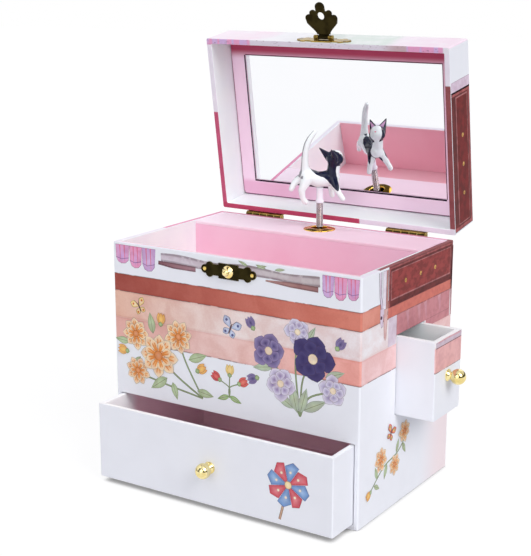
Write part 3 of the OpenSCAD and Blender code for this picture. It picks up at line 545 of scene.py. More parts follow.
def striped_paper():
    """White paper with three hand-painted stripes round the case."""
    paint = sheet("striped_paper", 0.42)
    flat = paint.stretch(1, 1, 0)
    level = paint.noise(30, detail=2, at=flat) * 0.9 + (paint.z - 0.45)
    level = paint.noise(3, at=flat) * 0.5 + (level - 0.25)
    blotch = paint.noise(13, detail=5, warp=0.6).step(0.32, 0.7)
    grain = paint.noise(1.1, detail=4).step(0.35, 0.65)
    colour = paint.mix(blotch, WHITE, WHITE_SHADE)
    across = paint.x * (0.5 / HALF_W) + 0.4 + paint.noise(22) * 0.2
    on_side = paint.y.step(0.9 - HALF_D, 1.3 - HALF_D)
    for low, high, left, centre, right, side in BANDS:
        middle, half = (low + high) / 2, (high - low) / 2
        off = abs(level - middle)
        pigment = off.step(half - 1.6, half) * 0.5 + blotch * 0.7
        pigment = paint.math("ADD", grain * 0.18, pigment, clamp=True)
        wash = paint.ramp(across, (0.05, left), (0.5, centre), (0.93, right))
        wash = paint.mix(on_side, wash, side)
        deep = paint.mix(1.0, wash, (238, 218, 214), "MULTIPLY")
        colour = paint.mix(off.step(half + 0.2, half - 0.2), colour,
                           paint.mix(pigment, wash, deep))
    stain = paint.y.step(15, 50) * paint.z.step(75, 40) * (on_side * 0.8)
    colour = paint.mix(stain, colour, (249, 229, 231))
    front, foot = SIDE_BOARD
    behind = (paint.x.step(HALF_W - 1.4, HALF_W - 1.2) * paint.y.step(front - 0.2, front + 0.2)
              * paint.z.step(foot - 0.4, foot))
    colour = paint.mix(behind, colour, paint.mix(blotch, (164, 86, 84), (128, 58, 58)))
    broken = paint.noise(9, detail=4, at=flat).step(0.38, 0.5)
    for line in INKED:
        drawn = abs(level - line).step(0.34, 0.16)
        colour = paint.mix(drawn * broken * 0.75, colour, INK)
    return paint.paper(colour)


def washed_paper():
    """White paper under soft washes of pink, grey and green that change along the lid."""
    paint = sheet("lid_wash_paper", 0.42)
    across = paint.x * (0.5 / HALF_W) + 0.44 + paint.noise(26, warp=0.6) * 0.12
    colour = paint.ramp(across, (0.04, (246, 232, 242)), (0.2, (243, 222, 235)),
                        (0.26, (240, 238, 243)), (0.4, (236, 236, 240)),
                        (0.48, (222, 230, 226)), (0.74, (216, 226, 220)),
                        (0.78, (240, 228, 238)), (0.93, (241, 219, 233)))
    bloom = paint.noise(9, detail=4).step(0.4, 0.75)
    return paint.paper(paint.mix(bloom * 0.5, colour, (244, 242, 246)))


PALE = ((244, 240, 248), (238, 230, 243))
PINK = ((236, 170, 198), (224, 140, 176))
MAHOGANY = ((164, 96, 98), (124, 60, 62))
CRIMSON_LEFT = ((214, 108, 144), (190, 66, 100))
CRIMSON_BACK = ((206, 84, 118), (186, 58, 90))


def rim_sheet(name, *tones):
    """Paper of a rim, its noise that makes borders wander, and its tones."""
    paint = sheet(name, 0.45)
    blotch = paint.noise(8, detail=4)
    return paint, paint.noise(4) * 1.5, [paint.mix(blotch, *tone) for tone in tones]


def rim_paper():
    """Rim of the case: pale, pink from the left side's middle round the back, mahogany right."""
    paint, wander, (pale, pink, wood) = rim_sheet("case_rim_paper", PALE, PINK, MAHOGANY)
    ragged = wander + paint.y
    colour = paint.mix(ragged.step(-8.4, -7.6), pale, pink)
    behind = ragged.step(-36.4, -35.6) * paint.x.step(IN_X - 1, IN_X)
    return paint.paper(paint.mix(behind, colour, wood))


def lid_rim_paper():
    """Rim of the lid: speckled front, mahogany on the right, crimson at the left and the back."""
    paint, wander, (pale, wood, left, back) = rim_sheet(
        "lid_rim_paper", PALE, MAHOGANY, CRIMSON_LEFT, CRIMSON_BACK)
    along_x, along_y = paint.x + wander, paint.y + wander
    colour = paint.mix(along_y.step(-8.4, -7.6), pale, left)
    right = paint.mix(along_y.step(-34.4, -33.6), pale, wood)
    colour = paint.mix(paint.x.step(LID_IN_X - 0.6, LID_IN_X - 0.3), colour, right)
    colour = paint.mix(paint.y.step(LID_IN_Y - 0.6, LID_IN_Y - 0.3), colour,
                       paint.mix(along_x.step(19.6, 20.4), back, pale))
    on_front = paint.y.step(0.6 - LID_IN_Y, 0.3 - LID_IN_Y)
    paint.set("Base Color", paint.mix(on_front, colour, speckles(paint)))
    return paint.material


def speckles(paint):
    """Pink and lilac blocks at both ends, grey between, broken by dark strokes."""
    block = paint.noise(5, detail=1, at=paint.stretch(1, 0.1, 0.1)).step(0.47, 0.53)
    pinks = paint.mix(block, (236, 168, 206), (216, 184, 226))
    greys = paint.mix(paint.x.step(38, 52), (228, 222, 232), (206, 180, 186))
    colour = paint.mix(abs(paint.x - 3).step(54, 55.5), greys, pinks)
    stroke = paint.noise(2.2, detail=4, at=paint.stretch(1, 3, 0.1)).step(0.62, 0.7)
    colour = paint.mix(stroke * 0.6, colour, (128, 96, 112))
    return paint.mix(paint.x.step(HALF_W - 4.5, HALF_W - 3.5), colour, (240, 238, 244))


def mat_paper():
    """Pink card of the mirror's mat, with painted shade deep towards its front edge and its right
    side, where the open lid's walls shade it.
    """
    paint = sheet("pink_mat_card")
    edge_x, edge_y = closed_corners("mirror_mat")[1].xy
    # painted shade: the right strip and the front edge go crimson where the lid's walls shade the
    # mat
    right = paint.x.step(edge_x - 12, edge_x - 7) * paint.y.step(edge_y, -edge_y)
    deep = paint.y.step(14 - edge_y, 7 - edge_y).either(right)
    pale = paint.mix(paint.noise(30), (254, 226, 244), (252, 220, 240))
    near_hinge = paint.y.step(edge_y - 12, edge_y - 8) * paint.x.step(0, -50)
    pale = paint.mix(near_hinge, pale, (238, 184, 212))
    return paint.paper(paint.mix(deep, pale, (184, 70, 100)), CARD_TOOTH)


def drawer_lining_painted_light():
    """Lining of the front drawer: dusky rose further in, and white behind its face as painted light
    where light falls in past the case.
    """
    paint = sheet("drawer_lining_painted_light")
    blotch = paint.noise(14, detail=4)
    white = paint.mix(blotch, (254, 254, 255), (248, 248, 252))
    rose = paint.mix(blotch, (255, 224, 234), (250, 212, 224))
    # painted light: white just behind the face, going over to rose further in
    return paint.paper(paint.mix(paint.y.step(4 - HALF_D, 13 - HALF_D), white, rose))


# ---------- case ----------

WRAP_R, EDGE_R = 1.2, 0.45      # the paper's bend round upright corners and round edges
SKIN = 1.3                      # faces this close to an outer side belong to it
PAST = 1                        # how far cutters reach past what they cut
KEY_HOLE_R = 4.5
UNDER_FACE, OVER_FACE = 0.25, 0.75  # the side drawer's opening, past the drawer's face
OFF_BAY = 2                         # and inside its bay
stripes = striped_paper()


def case_shell():
    """The four outer boards under one paper wrap, with the openings of both drawers."""
    face_low, face_high = corners("side_drawer_face")
    key_hole = [(0, 0), (KEY_HOLE_R, 0), (KEY_HOLE_R, BOARD_T + 2 * PAST), (0, BOARD_T + 2 * PAST)]
    bm = shell((-HALF_W, -HALF_D, 0), (HALF_W, HALF_D, RIM_Z), [
        box_bm((-IN_X, -IN_Y, -PAST), (IN_X, IN_Y, RIM_Z + PAST)),
        box_bm((-IN_X, -HALF_D - PAST, -PAST), (IN_X, -IN_Y + PAST, FRONT_OPEN_Z)),
        box_bm((-IN_X, IN_Y - PAST, -PAST), (IN_X, HALF_D + PAST, BOTTOM_Z)),
        box_bm((IN_X - PAST, BAY_LOW.y + OFF_BAY, face_low.z - UNDER_FACE),
               (HALF_W + PAST, BAY_HIGH.y - OFF_BAY, face_high.z + OVER_FACE)),
        moved(lathe(key_hole, 32), Matrix.Translation((0, IN_Y - PAST, pivot("key_spin").z))
              @ Matrix.Rotation(-pi / 2, 4, "X")),
    ], WRAP_R, EDGE_R)

    def choose(centre, normal):
        if centre.z > RIM_Z - 0.5 and normal.z > 0.4:
            return 2
        outside = abs(centre.x) > HALF_W - SKIN or centre.y < -HALF_D + SKIN
        outward = normal.x * centre.x > 0.2 * HALF_W or normal.y < -0.2
        return 1 if outside and outward and centre.y < HALF_D - SKIN else 0
    paint_faces(bm, choose)
    hold_flats(link(
        "case_shell", to_mesh(bm, white_paper, stripes, rim_paper()), "case",
        replaces=("left_side_panel", "right_side_panel", "front_panel", "back_panel")))


def tray_lining():
    """Card on the tray's front and side walls: pink in front, white at the sides."""
    low, high, card = Vector((-IN_X, -IN_Y, FLOOR_Z)), Vector((IN_X, DECK_LOW.y, RIM_Z)), 1
    inside = box_bm((low.x + card, low.y + card, low.z - PAST),
                    (high.x - card, high.y + PAST, high.z + PAST))
    bm = hollowed(box_bm(low, high), [inside], 0.3)
    paint_faces(bm, lambda centre, normal: 1 if centre.y < low.y + card + 0.05 else 0)
    hold_flats(link("tray_lining", to_mesh(bm, lilac_paper, blush_paper), "case",
                    replaces=("tray_liner",)))


case_shell()
dress(white_paper, "bottom_panel", "drawer_shelf", "side_drawer_bay")
dress(blush_paper, "tray_floor", ease=0.3)
dress(pink_paper, "deck_wall", ease=0.3)
dress(deck_card(), "deck_panel", ease=0.5)
tray_lining()

# ---------- lid ----------

LID_GAP = 0.05                  # keeps the closed lid's rim just clear of the case's
WINDOW_GAP = 0.3                # between the glass and the edge of the mat's window


def lid_shell():
    """Top board and four walls of the lid under one paper wrap."""
    bm = shell((-HALF_W, -HALF_D, RIM_Z + LID_GAP), (HALF_W, HALF_D, LID_TOP_Z), [
        box_bm((-LID_IN_X, -LID_IN_Y, RIM_Z - PAST), (LID_IN_X, LID_IN_Y, LID_TOP_Z - LID_TOP_T)),
    ], WRAP_R, EDGE_R)

    def choose(centre, normal):
        if normal.z < -0.4 and centre.z < RIM_Z + 0.6:
            return 2
        inside = abs(centre.x) < LID_IN_X + 0.3 and abs(centre.y) < LID_IN_Y + 0.3
        if inside and centre.z < LID_TOP_Z - 1:
            return 3
        front = normal.y < -0.4 and centre.y < -HALF_D + SKIN
        return 1 if front or (normal.z > 0.4 and centre.z > LID_TOP_Z - SKIN) else 0
    paint_faces(bm, choose)
    hold_flats(link(
        "lid_shell", to_mesh(bm, white_paper, washed_paper(), lid_rim_paper(), clean_paper),
        "lid", OPENED, ("lid_top_panel", "lid_front_wall", "lid_back_wall", "lid_side_walls")))


def rounded_rect(half_w, half_h, radius, steps=6):
    points = []
    for cx, cy, start in ((1, 1, 0), (-1, 1, 90), (-1, -1, 180), (1, -1, 270)):
        for k in range(steps + 1):
            a = radians(start + 90 * k / steps)
            points.append((cx * (half_w - radius) + radius * cos(a),
                           cy * (half_h - radius) + radius * sin(a)))
    return points


def mirror_frame():
    """Pink card around the mirror, with soft outer corners and a crisp window."""
    low, high = closed_corners("mirror_mat")
    glass = closed_corners("mirror")[1]
    bm = bmesh.new()
    loops = []
    for ring in (rounded_rect(high.x, high.y, 3.5),
                 rounded_rect(glass.x + WINDOW_GAP, glass.y + WINDOW_GAP, 0.4, 3)):
        verts = [bm.verts.new((x, y, 0)) for x, y in ring]
        loops += [bm.edges.new((verts[i], verts[(i + 1) % len(verts)])) for i in range(len(verts))]
    bmesh.ops.triangle_fill(bm, use_beauty=True, use_dissolve=False, edges=loops)
    bmesh.ops.dissolve_limit(bm, angle_limit=radians(1), verts=bm.verts, edges=bm.edges)
    made = bmesh.ops.extrude_face_region(bm, geom=bm.faces[:])
    bmesh.ops.translate(bm, vec=(0, 0, high.z - low.z),
                        verts=[g for g in made["geom"] if isinstance(g, bmesh.types.BMVert)])
    bmesh.ops.recalc_face_normals(bm, faces=bm.faces)
    moved(eased(bm, 0.25, 60), Matrix.Translation((0, 0, low.z)))
    hold_flats(link("mirror_frame", to_mesh(bm, mat_paper()), "lid", OPENED, ("mirror_mat",)))


lid_shell()
mirror_frame()
dress(looking_glass(), "mirror")

# ---------- drawers ----------

DRAWER_WALL, DRAWER_R, DRAWER_EDGE_R = 3, 0.9, 0.4
LINED = 1                       # faces further in than this from the outer sides are lining


def drawer_shell(name, body, nodes, papers, choose):
    """Face and walls of a drawer as one wrapped frame, open below for its bottom board."""
    boxes = [corners(node) for node in nodes]
    low = Vector(min(b[0][i] for b in boxes) for i in range(3))
    high = Vector(max(b[1][i] for b in boxes) for i in range(3))
    wall = Vector((DRAWER_WALL, DRAWER_WALL, -PAST))
    bm = shell(low, high, [box_bm(low + wall, high - wall)], DRAWER_R, DRAWER_EDGE_R)
    paint_faces(bm, lambda centre, normal: choose(centre, normal, low, high))
    hold_flats(link(name, to_mesh(bm, *papers), body, replaces=nodes))


def front_faces(centre, normal, low, high):
    """Rose on the inside of the back board; on the other inner faces, the lining with its painted
    light near the face.
    """
    if centre.y > high.y - DRAWER_WALL - 0.2 and normal.y < -0.5:
        return 1
    inside = low.x + LINED < centre.x < high.x - LINED and centre.y > low.y + LINED
    return 2 if inside else 0


def side_faces(centre, normal, low, high):
    """Clean lining inside, the case's stripes on the face."""
    if (low.x + LINED < centre.x < high.x - LINED
            and low.y + LINED < centre.y < high.y - LINED):
        return 2
    return 1 if centre.x > high.x - LINED and normal.x > 0.3 else 0


drawer_shell("front_drawer_box", "front_drawer",
             ("front_drawer_face", "front_drawer_sides", "front_drawer_back"),
             (white_paper, rose_paper, drawer_lining_painted_light()), front_faces)
drawer_shell("side_drawer_box", "side_drawer",
             ("side_drawer_face", "side_drawer_sides", "side_drawer_back"),
             (white_paper, stripes, clean_paper), side_faces)
dress(rose_paper, "front_drawer_bottom")
dress(white_paper, "side_drawer_bottom")
dress(steel, "front_knob_screw", "side_knob_screw")

# ---------- brass and steel fittings ----------

# painted reflection: the catch plate and the hasp are coloured dark, their eased edges lighter
dress(dark_reflection_brass, "catch_plate", ease=0.25, edge=edge_brass)
dress(old_brass, "hasp_plate", ease=0.25, edge=edge_brass)
dress(dark_reflection_brass, "hasp", ease=0.25, edge=dark_edge_brass)
dress(hinge_brass, "hinge_body_leaves", "hinge_lid_leaves", ease=0.18, edge=edge_brass)
dress(hinge_brass, "hinge_pins", "hasp_pin", ease=0.15, edge=edge_brass)
dress(steel, "winding_key", "winding_arbor", ease=0.25, edge=bright_steel)
dress(zinc, "bedplate", ease=0.15)
dress(steel, "movement_screws", "comb_screws", "tone_comb", "spindle", "mainspring", ease=0.08)
dress(movement_brass, "spring_housing", "great_wheel", "governor_frame", "governor_wheel",
      "note_cylinder", "spindle_bracket")
dress(fan_plastic, "air_fan")


def facing(point, direction):
    """Matrix that stands a shape drawn along +Z on a point, along a direction."""
    turn = Vector(direction).to_track_quat("Z", "Y").to_matrix().to_4x4()
    return Matrix.Translation(point) @ turn


def eyelet():
    """Rolled brass eyelet in the deck."""
    low, high = corners("spindle_ring")
    outer, top, hole = (high.x - low.x) / 2, high.z - DECK_HIGH.z, 5
    profile = [
        (hole, -2), (hole, top * 0.45),
        *turned(lambda c, s: (hole + 0.5 - 0.5 * c, top * 0.45 + 0.55 * top * s), (20, 40, 60, 80)),
        (6.1, top), (7, top * 0.93), (8.1, top * 0.74), (9, top * 0.62),
        *turned(lambda c, s: (outer - 0.45 + 0.45 * s, 0.2 + top * 0.3 * c), (0, 30, 60, 90)),
        (outer, 0), (6.2, 0), (6.2, -2), (hole, -2)]
    bm = lathe(profile, 96)
    bmesh.ops.remove_doubles(bm, verts=bm.verts, dist=1e-5)
    link("deck_eyelet", to_mesh(bm, gold_brass), "case",
         Matrix.Translation((*SPINDLE, DECK_HIGH.z)), ("spindle_ring",))


def ball_knob(name, node, direction, body):
    """Turned brass knob: a stepped foot, a waist and a ball."""
    low, high = corners(node)
    axis = Vector(direction)
    reach = max((high - low).dot(axis), (low - high).dot(axis))
    base = (low + high) / 2 - axis * reach / 2
    ball, waist = min(high - low) / 2, 2
    start = -degrees(atan2(sqrt(ball ** 2 - waist ** 2), waist))
    angles = [start + 3 + (87 - start) * k / 22 for k in range(23)]
    profile = [(0, 0), (3.6, 0), (3.6, 0.3), (3.5, 0.5), (3.3, 0.6), (3.05, 0.62), (2.95, 0.75),
               (2.75, 1.05), (2.35, 1.5), (2.08, 1.85), (waist, 2.1),
               (waist + 0.02, reach - ball + ball * sin(radians(start))),
               *turned(lambda c, s: (ball * c, reach - ball + ball * s), angles)]
    link(name, to_mesh(lathe(profile, 64), brass), body, facing(base, axis), (node,))


plate_low, plate_high = corners("catch_plate")
LATCH = Vector(((plate_low.x + plate_high.x) / 2, plate_low.y, (plate_low.z + plate_high.z) / 2))


def stud():
    """Domed boss and mushroom stud of the catch."""
    profile = [(0, 0), (3.7, 0), (3.7, 0.35), (3.6, 0.6), (3.35, 0.8), (2.9, 1), (2.3, 1.25),
               (1.85, 1.5), (1.68, 1.75), (1.68, 2), (1.8, 2.15),
               *turned(lambda c, s: (2.1 * c, 2.65 + 1.57 * s), range(-15, 91, 7))]
    link("catch_boss", to_mesh(lathe(profile, 56), stud_brass), "case",
         facing(LATCH, (0, -1, 0)), ("catch_stud",))


def pin_heads():
    """Two small domed pins that hold the catch plate."""
    low, high = corners("catch_pins")
    radius = 1.1
    dome = [(0, 0), (radius, 0), (radius, 0.12),
            *turned(lambda c, s: (radius * c, 0.12 + 0.36 * s), (15, 30, 45, 60, 75, 90))]
    heads = [moved(lathe(dome, 24), facing((x, LATCH.y, LATCH.z), (0, -1, 0)))
             for x in (low.x + radius, high.x - radius)]
    link("catch_pin_heads", to_mesh(joined(*heads), edge_brass), "case",
         replaces=("catch_pins",))


SCREW_R, SCREW_H = 1.6, 0.6
HINGE_X, SCREW_GAP = 52, 16.5       # middle of a hinge, and its screws' spacing
SLOT_START, SLOT_TURN = 0.5, 1.1    # radians: first screw's slot, and from one to the next


def slotted_head():
    """Domed screw head with a milled slot, standing on Z = 0."""
    foot = SCREW_H * 0.35
    dome = [(0, 0), (SCREW_R, 0), (SCREW_R, foot),
            *turned(lambda c, s: (SCREW_R * c, SCREW_H * (0.35 + 0.65 * s)), (15, 30, 50, 70, 90))]
    slot = SCREW_R * 0.26
    return thawed(cut(to_mesh(lathe(dome, 28)), box_bm(
        (-SCREW_R * 2, -slot / 2, foot), (SCREW_R * 2, slot / 2, SCREW_H * 2))))


def hinge_screws(name, node, body, place, lean):
    """Four slotted screws of the leaves, each slot left at its own angle."""
    low, high = closed_corners(node) if place else corners(node)
    heads = []
    for k in range(4):
        x = (HINGE_X if k > 1 else -HINGE_X) + (k % 2 - 0.5) * SCREW_GAP
        heads.append(moved(slotted_head(),
                           facing((x, high.y - SCREW_H, (low.z + high.z) / 2), (0, 1, 0))
                           @ Matrix.Rotation(SLOT_START + SLOT_TURN * k + lean, 4, "Z")))
    link(name, to_mesh(joined(*heads), screw_brass, smooth_angle=35), body, place, (node,))


eyelet()
ball_knob("front_drawer_pull", "front_drawer_knob", (0, -1, 0), "front_drawer")
ball_knob("side_drawer_pull", "side_drawer_knob", (1, 0, 0), "side_drawer")
stud()
pin_heads()
hinge_screws("hinge_body_screw_heads", "hinge_body_screws", "case", None, 0.2)
hinge_screws("hinge_lid_screw_heads", "hinge_lid_screws", "lid", OPENED, 0.9)

# ---------- kitten on its spring ----------

WIRE_R, WIRE_STEP = 0.36, 2.08      # the spring's wire, and its winding step in wire radii
TURN_STEPS, WIRE_SIDES = 28, 8
CORE_R, CORE_CUTS = 0.9, 24


def coil():
    """Close-wound spring wire round a plain core, from the eyelet to the collar."""
    low, high = corners("coil_spring")
    radius, rise = (high.x - low.x) / 2 - WIRE_R, high.z - low.z - 2 * WIRE_R
    turns = int(rise / (WIRE_STEP * WIRE_R))
    steps, up = turns * TURN_STEPS, Vector((0, 0, 1))
    bm = bmesh.new()
    rings = []
    for i in range(steps + 1):
        angle = tau * turns * i / steps
        out = Vector((cos(angle), sin(angle), 0))
        centre = out * radius + up * (low.z + WIRE_R + rise * i / steps)
        rings.append([bm.verts.new(centre + WIRE_R * (cos(turn) * out + sin(turn) * up))
                      for turn in (tau * k / WIRE_SIDES for k in range(WIRE_SIDES))])
    skin(bm, rings, WIRE_SIDES)
    bm.faces.new(rings[0][::-1])
    bm.faces.new(rings[-1])
    core = moved(lathe([(0, 0), (CORE_R, 0), (CORE_R, 1), (0, 1)], 16),
                 Matrix.Translation((0, 0, low.z)) @ Matrix.Diagonal((1, 1, high.z - low.z, 1)))
    bm = moved(joined(bm, core), Matrix.Translation((*SPINDLE, 0)))
    # the core gets rings of its own along its length
    long_edges = [e for e in bm.edges if abs(e.verts[0].co.z - e.verts[1].co.z) > 5]
    bmesh.ops.subdivide_edges(bm, edges=long_edges, cuts=CORE_CUTS)
    thing = link("wound_spring", to_mesh(bm, spring_steel, smooth_angle=60), None,
                 replaces=("coil_spring",))
    start, end = ((SPINDLE.x * MM, SPINDLE.y * MM, z * MM) for z in (low.z + 2, high.z - 1))
    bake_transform(thing)
    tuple(start)
    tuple(end)


def collar():
    """Moulded socket under the kitten: a stem with a flared foot."""
    radius, height = (COLLAR_HIGH.x - COLLAR_LOW.x) / 2, COLLAR_HIGH.z - COLLAR_LOW.z
    stem = radius - 0.55
    profile = [(0, 0), (radius - 0.25, 0), (radius, 0.25), (radius, 1.5), (radius - 0.2, 1.85),
               (stem + 0.12, 2.3), (stem, 3), (stem, height - 1), (stem + 0.2, height), (0, height)]
    link("kitten_socket", to_mesh(lathe(profile), collar_plastic), "figure",
         Matrix.Translation((*SPINDLE, COLLAR_LOW.z)), ("figure_collar",))


coil()
collar()

HEADING = radians(38)
KITTEN = Matrix.Translation((*SPINDLE, COLLAR_HIGH.z)) @ Matrix.Rotation(HEADING, 4, "Z")
HEAD = Vector((8.5, -2.6, 18.8))
GAZE_TURN, GAZE_LIFT = radians(35), radians(42)
LOOK = Vector((cos(GAZE_LIFT) * cos(GAZE_TURN), cos(GAZE_LIFT) * sin(GAZE_TURN), sin(GAZE_LIFT)))
LEFT = Vector((-sin(GAZE_TURN), cos(GAZE_TURN), 0))
CROWN = LOOK.cross(LEFT)


def on_head(look, left, crown):
    """A point given from the middle of the head along its own three directions."""
    return HEAD + look * LOOK + left * LEFT + crown * CROWN


def head_ball(look, left, crown, radius):
    return (*on_head(look, left, crown), radius)


def hull(balls, fineness):
    """The tight skin round a few balls, each given as x, y, z and radius."""
    bm = bmesh.new()
    for *centre, radius in balls:
        ball = bmesh.ops.create_icosphere(bm, subdivisions=fineness, radius=radius)
        bmesh.ops.translate(bm, verts=ball["verts"], vec=centre)
    made = bmesh.ops.convex_hull(bm, input=bm.verts)
    inside = [g for g in made["geom_interior"] if isinstance(g, bmesh.types.BMVert)]
    bmesh.ops.delete(bm, geom=inside, context="VERTS")
    return bm


def ear(side):
    """Triangular ear: three corners and a thick root."""
    foot_in, foot_out = on_head(-0.6, side * 1.2, 4.2), on_head(-0.9, side * 4.3, 2.6)
    return hull([(*foot_in, 1), (*foot_out, 1), head_ball(-1.5, side * 5.4, 9.9, 0.42),
                 head_ball(-2.4, side * 4.1, 0.4, 1),
                 (*((foot_in + foot_out) / 2 - 0.9 * LOOK), 1.1)], 2)


def ear_cup(side):
    """Thin pink triangle in the front of an ear."""
    foot_in, foot_out = on_head(0.36, side * 1.7, 4.5), on_head(-0.05, side * 3.7, 3.7)
    return hull([(*foot_in, 0.28), (*foot_out, 0.28), head_ball(-1, side * 5.1, 8.4, 0.14),
                 (*((foot_in + foot_out) / 2 - 0.3 * CROWN), 0.3)], 2)


LIMBS = (  # each a row of balls (x, y, z, radius) that are joined two by two
    # trunk and neck
    ((-8.6, 0, 8.3, 4.5), (-5, 0, 6.6, 4.7), (-1.3, 0, 5.2, 4.9), (3.5, 0, 5.6, 4.9),
     (7.6, 0, 6.6, 5)),
    ((7.7, -0.9, 8, 4.4), (8.2, -1.6, 11.5, 4), (8.4, -2.1, 14.8, 3.9), (8.5, -2.6, 17.6, 4.4)),
    # skull, muzzle and cheeks
    (head_ball(0, 0, 0.1, 5), head_ball(1.4, 0, -0.4, 4.3)),
    (head_ball(1.2, 0, -1.4, 3.6), head_ball(3.5, 0, -1.7, 2.5)),
    (head_ball(2.9, 1.1, -2, 2.1), head_ball(2.9, -1.1, -2, 2.1)),
    (head_ball(0.5, 2.1, -1.4, 3.3), head_ball(0.5, -2.1, -1.4, 3.3)),
    # tail
    ((-8.8, 0, 9, 3.6), (-9.4, -0.6, 13, 2.7), (-9.6, -1.2, 16.5, 2.3), (-9.6, -1.8, 20, 2.15),
     (-9.3, -2.3, 23.8, 2.05), (-8.5, -2.7, 27.5, 1.95), (-7.3, -2.9, 30.2, 1.85),
     (-5.8, -3, 32.5, 1.65), (-3.9, -3, 34.9, 1.35)),
    # front legs, then rear legs; the first of each is the right one
    ((7.9, -2.2, 6, 3.4), (9, -3.8, 2, 2.6), (10.1, -5, -0.6, 2), (11.6, -5.9, -3.2, 1.7),
     (13, -6.4, -5.3, 1.65), (13.5, -6.5, -6, 1.7)),
    ((7.2, 2.4, 5.2, 3.3), (7.6, 3.8, 1, 2.3), (8, 5.4, -2.6, 1.8), (8.8, 6.8, -6.1, 1.65)),
    ((-8.4, -2.2, 6, 3.8), (-10.2, -3, 2.4, 2.9), (-11.7, -3.4, -0.8, 2.2),
     (-11.2, -3.4, -5.2, 1.8), (-10, -3.4, -7.8, 1.7), (-9.2, -3.4, -8.2, 1.75)),
    ((-9.3, 1.8, 6.6, 3.5), (-12, 2, 5.4, 2.8), (-14, 1.9, 4.4, 2.3), (-16.2, 1.7, 2.1, 1.9),
     (-17.7, 1.5, -0.9, 1.7)),
)

# Edge of the dark coat seen from the kitten's right, in millimetres along and above its body
COAT = [(-7.4, 14), (-5.6, 12.6), (-3.4, 12), (-1, 12.6), (1.4, 14), (3, 16), (2, 21), (-2, 24),
        (-3, 30), (14, 30), (13.2, 22), (12.9, 19.6), (11.9, 17.2), (10.3, 15.2), (9.4, 13.4),
        (9.1, 11.5), (9.6, 8.4), (10.6, 5), (11.2, 1.9), (11, -0.4), (10.3, -1.6), (9, -0.4),
        (7.2, 1.4), (5.3, 3.6), (3.4, 5.8), (1.4, 7.2), (-0.6, 7.7), (-3.2, 9), (-5.4, 11)]


def edge_distance(x, z, outline):
    """Distance to an outline, positive inside it."""
    inside, nearest = False, 1e9
    for (ax, az), (bx, bz) in zip(outline, outline[1:] + outline[:1]):
        if (az > z) != (bz > z) and x < ax + (z - az) * (bx - ax) / (bz - az):
            inside = not inside
        along = (x - ax) * (bx - ax) + (z - az) * (bz - az)
        t = min(1, max(0, along / ((bx - ax) ** 2 + (bz - az) ** 2)))
        nearest = min(nearest, hypot(x - ax - t * (bx - ax), z - az - t * (bz - az)))
    return nearest if inside else -nearest


HEAD_REACH, WHITE_ALL = 12.5, -9    # no coat of the head beyond; a share that means white


def coat_share(point, normal):
    """Above 0 where the kitten is dark: saddle and shoulders on both sides, back of the head."""
    away = point - HEAD
    look, left, crown = away.dot(LOOK), away.dot(LEFT), away.dot(CROWN)
    body = edge_distance(point.x, point.z, COAT) if point.z < 15.5 else WHITE_ALL
    if point.x > 5:
        body = min(body, 4 * (0.8 - normal.x))
    head = min(-look + 1.2 * abs(left) - 1.2 + 0.12 * crown, point.z - 14.2)
    ears = min(crown - 4.4 + 0.25 * abs(left), HEAD_REACH - away.length)
    return max(body, head if away.length <= HEAD_REACH else WHITE_ALL, ears)


def tail_shade_share(point, normal):
    """Above 0 on the painted dark reflection: a grey line down the back of the tail."""
    if point.x > -3 or point.z < 6:
        return -1
    return -normal.x * 0.95 + normal.z * 0.3 - 0.72


def china():
    """Glossy white china with a navy coat, warm at the feet, and a painted dark reflection as a
    grey line down the back of the tail.
    """
    paint = Paint("china_gloss", Roughness=0.14, Specular_IOR_Level=0.3, Coat_Weight=0.12,
                  Coat_Roughness=0.03)
    coat, tail_shade = (paint.signal("ShaderNodeAttribute", take="Fac", attribute_name=name)
                    for name in ("coat", "tail_shade"))
    dark = (paint.noise(1.6) * 0.5 + coat).step(0.1, 0.4)
    mottle = paint.noise(3.5, detail=4)
    white = paint.mix(mottle, (248, 255, 255), (243, 251, 253))
    white = paint.mix(paint.z.step(3, -8) * 0.12, white, (246, 222, 228))
    # painted dark reflection: a grey line where the back of the tail turns away
    white = paint.mix(tail_shade.step(0, 0.12) * 0.75, white, (86, 84, 98))
    navy = paint.mix(mottle, (12, 16, 38), (20, 28, 62))
    paint.set("Base Color", paint.mix(dark, white, navy))
    paint.set("Roughness", mottle * 0.1 + 0.08)
    paint.bump(paint.noise(2.4), 0.04, 0.4)
    return paint.material


def kitten():
    """China kitten: one skin over its limbs, its colours painted on by weights on the mesh."""
    parts = [hull(pair, 3) for row in LIMBS for pair in zip(row, row[1:])]
    mesh = modified(frozen(joined(*parts, ear(1), ear(-1))),
                    ("REMESH", {"mode": "VOXEL", "voxel_size": 0.34}),
                    ("SMOOTH", {"iterations": 7, "factor": 0.5}))
    for name, share in (("coat", coat_share), ("tail_shade", tail_shade_share)):
        layer = mesh.attributes.new(name, "FLOAT", "POINT")
        layer.data.foreach_set("value", [share(v.co, v.normal) for v in mesh.vertices])
    for polygon in mesh.polygons:
        polygon.use_smooth = True
    mesh.materials.append(china())
    link("china_kitten", mesh, "figure", KITTEN, ("kitten",))


def bead(centre, radii, turn=0.0):
    """Flattened ball on the head: radii along look, left and crown."""
    bm = bmesh.new()
    bmesh.ops.create_icosphere(bm, subdivisions=3, radius=1)
    axes = Matrix((LOOK, LEFT, CROWN)).transposed().to_4x4()
    return moved(bm, Matrix.Translation(centre) @ axes @ Matrix.Rotation(turn, 4, "X")
                 @ Matrix.Diagonal((*radii, 1)))


def feature(name, parts, paint_name, colour, shade, roughness=0.25, smooth_angle=40):
    """A small painted piece of the kitten's face."""
    paint = Paint(paint_name, Roughness=roughness)
    paint.set("Base Color", paint.mix(paint.noise(0.8), colour, shade))
    link(name, to_mesh(joined(*parts), paint.material, smooth_angle=smooth_angle), "figure", KITTEN)


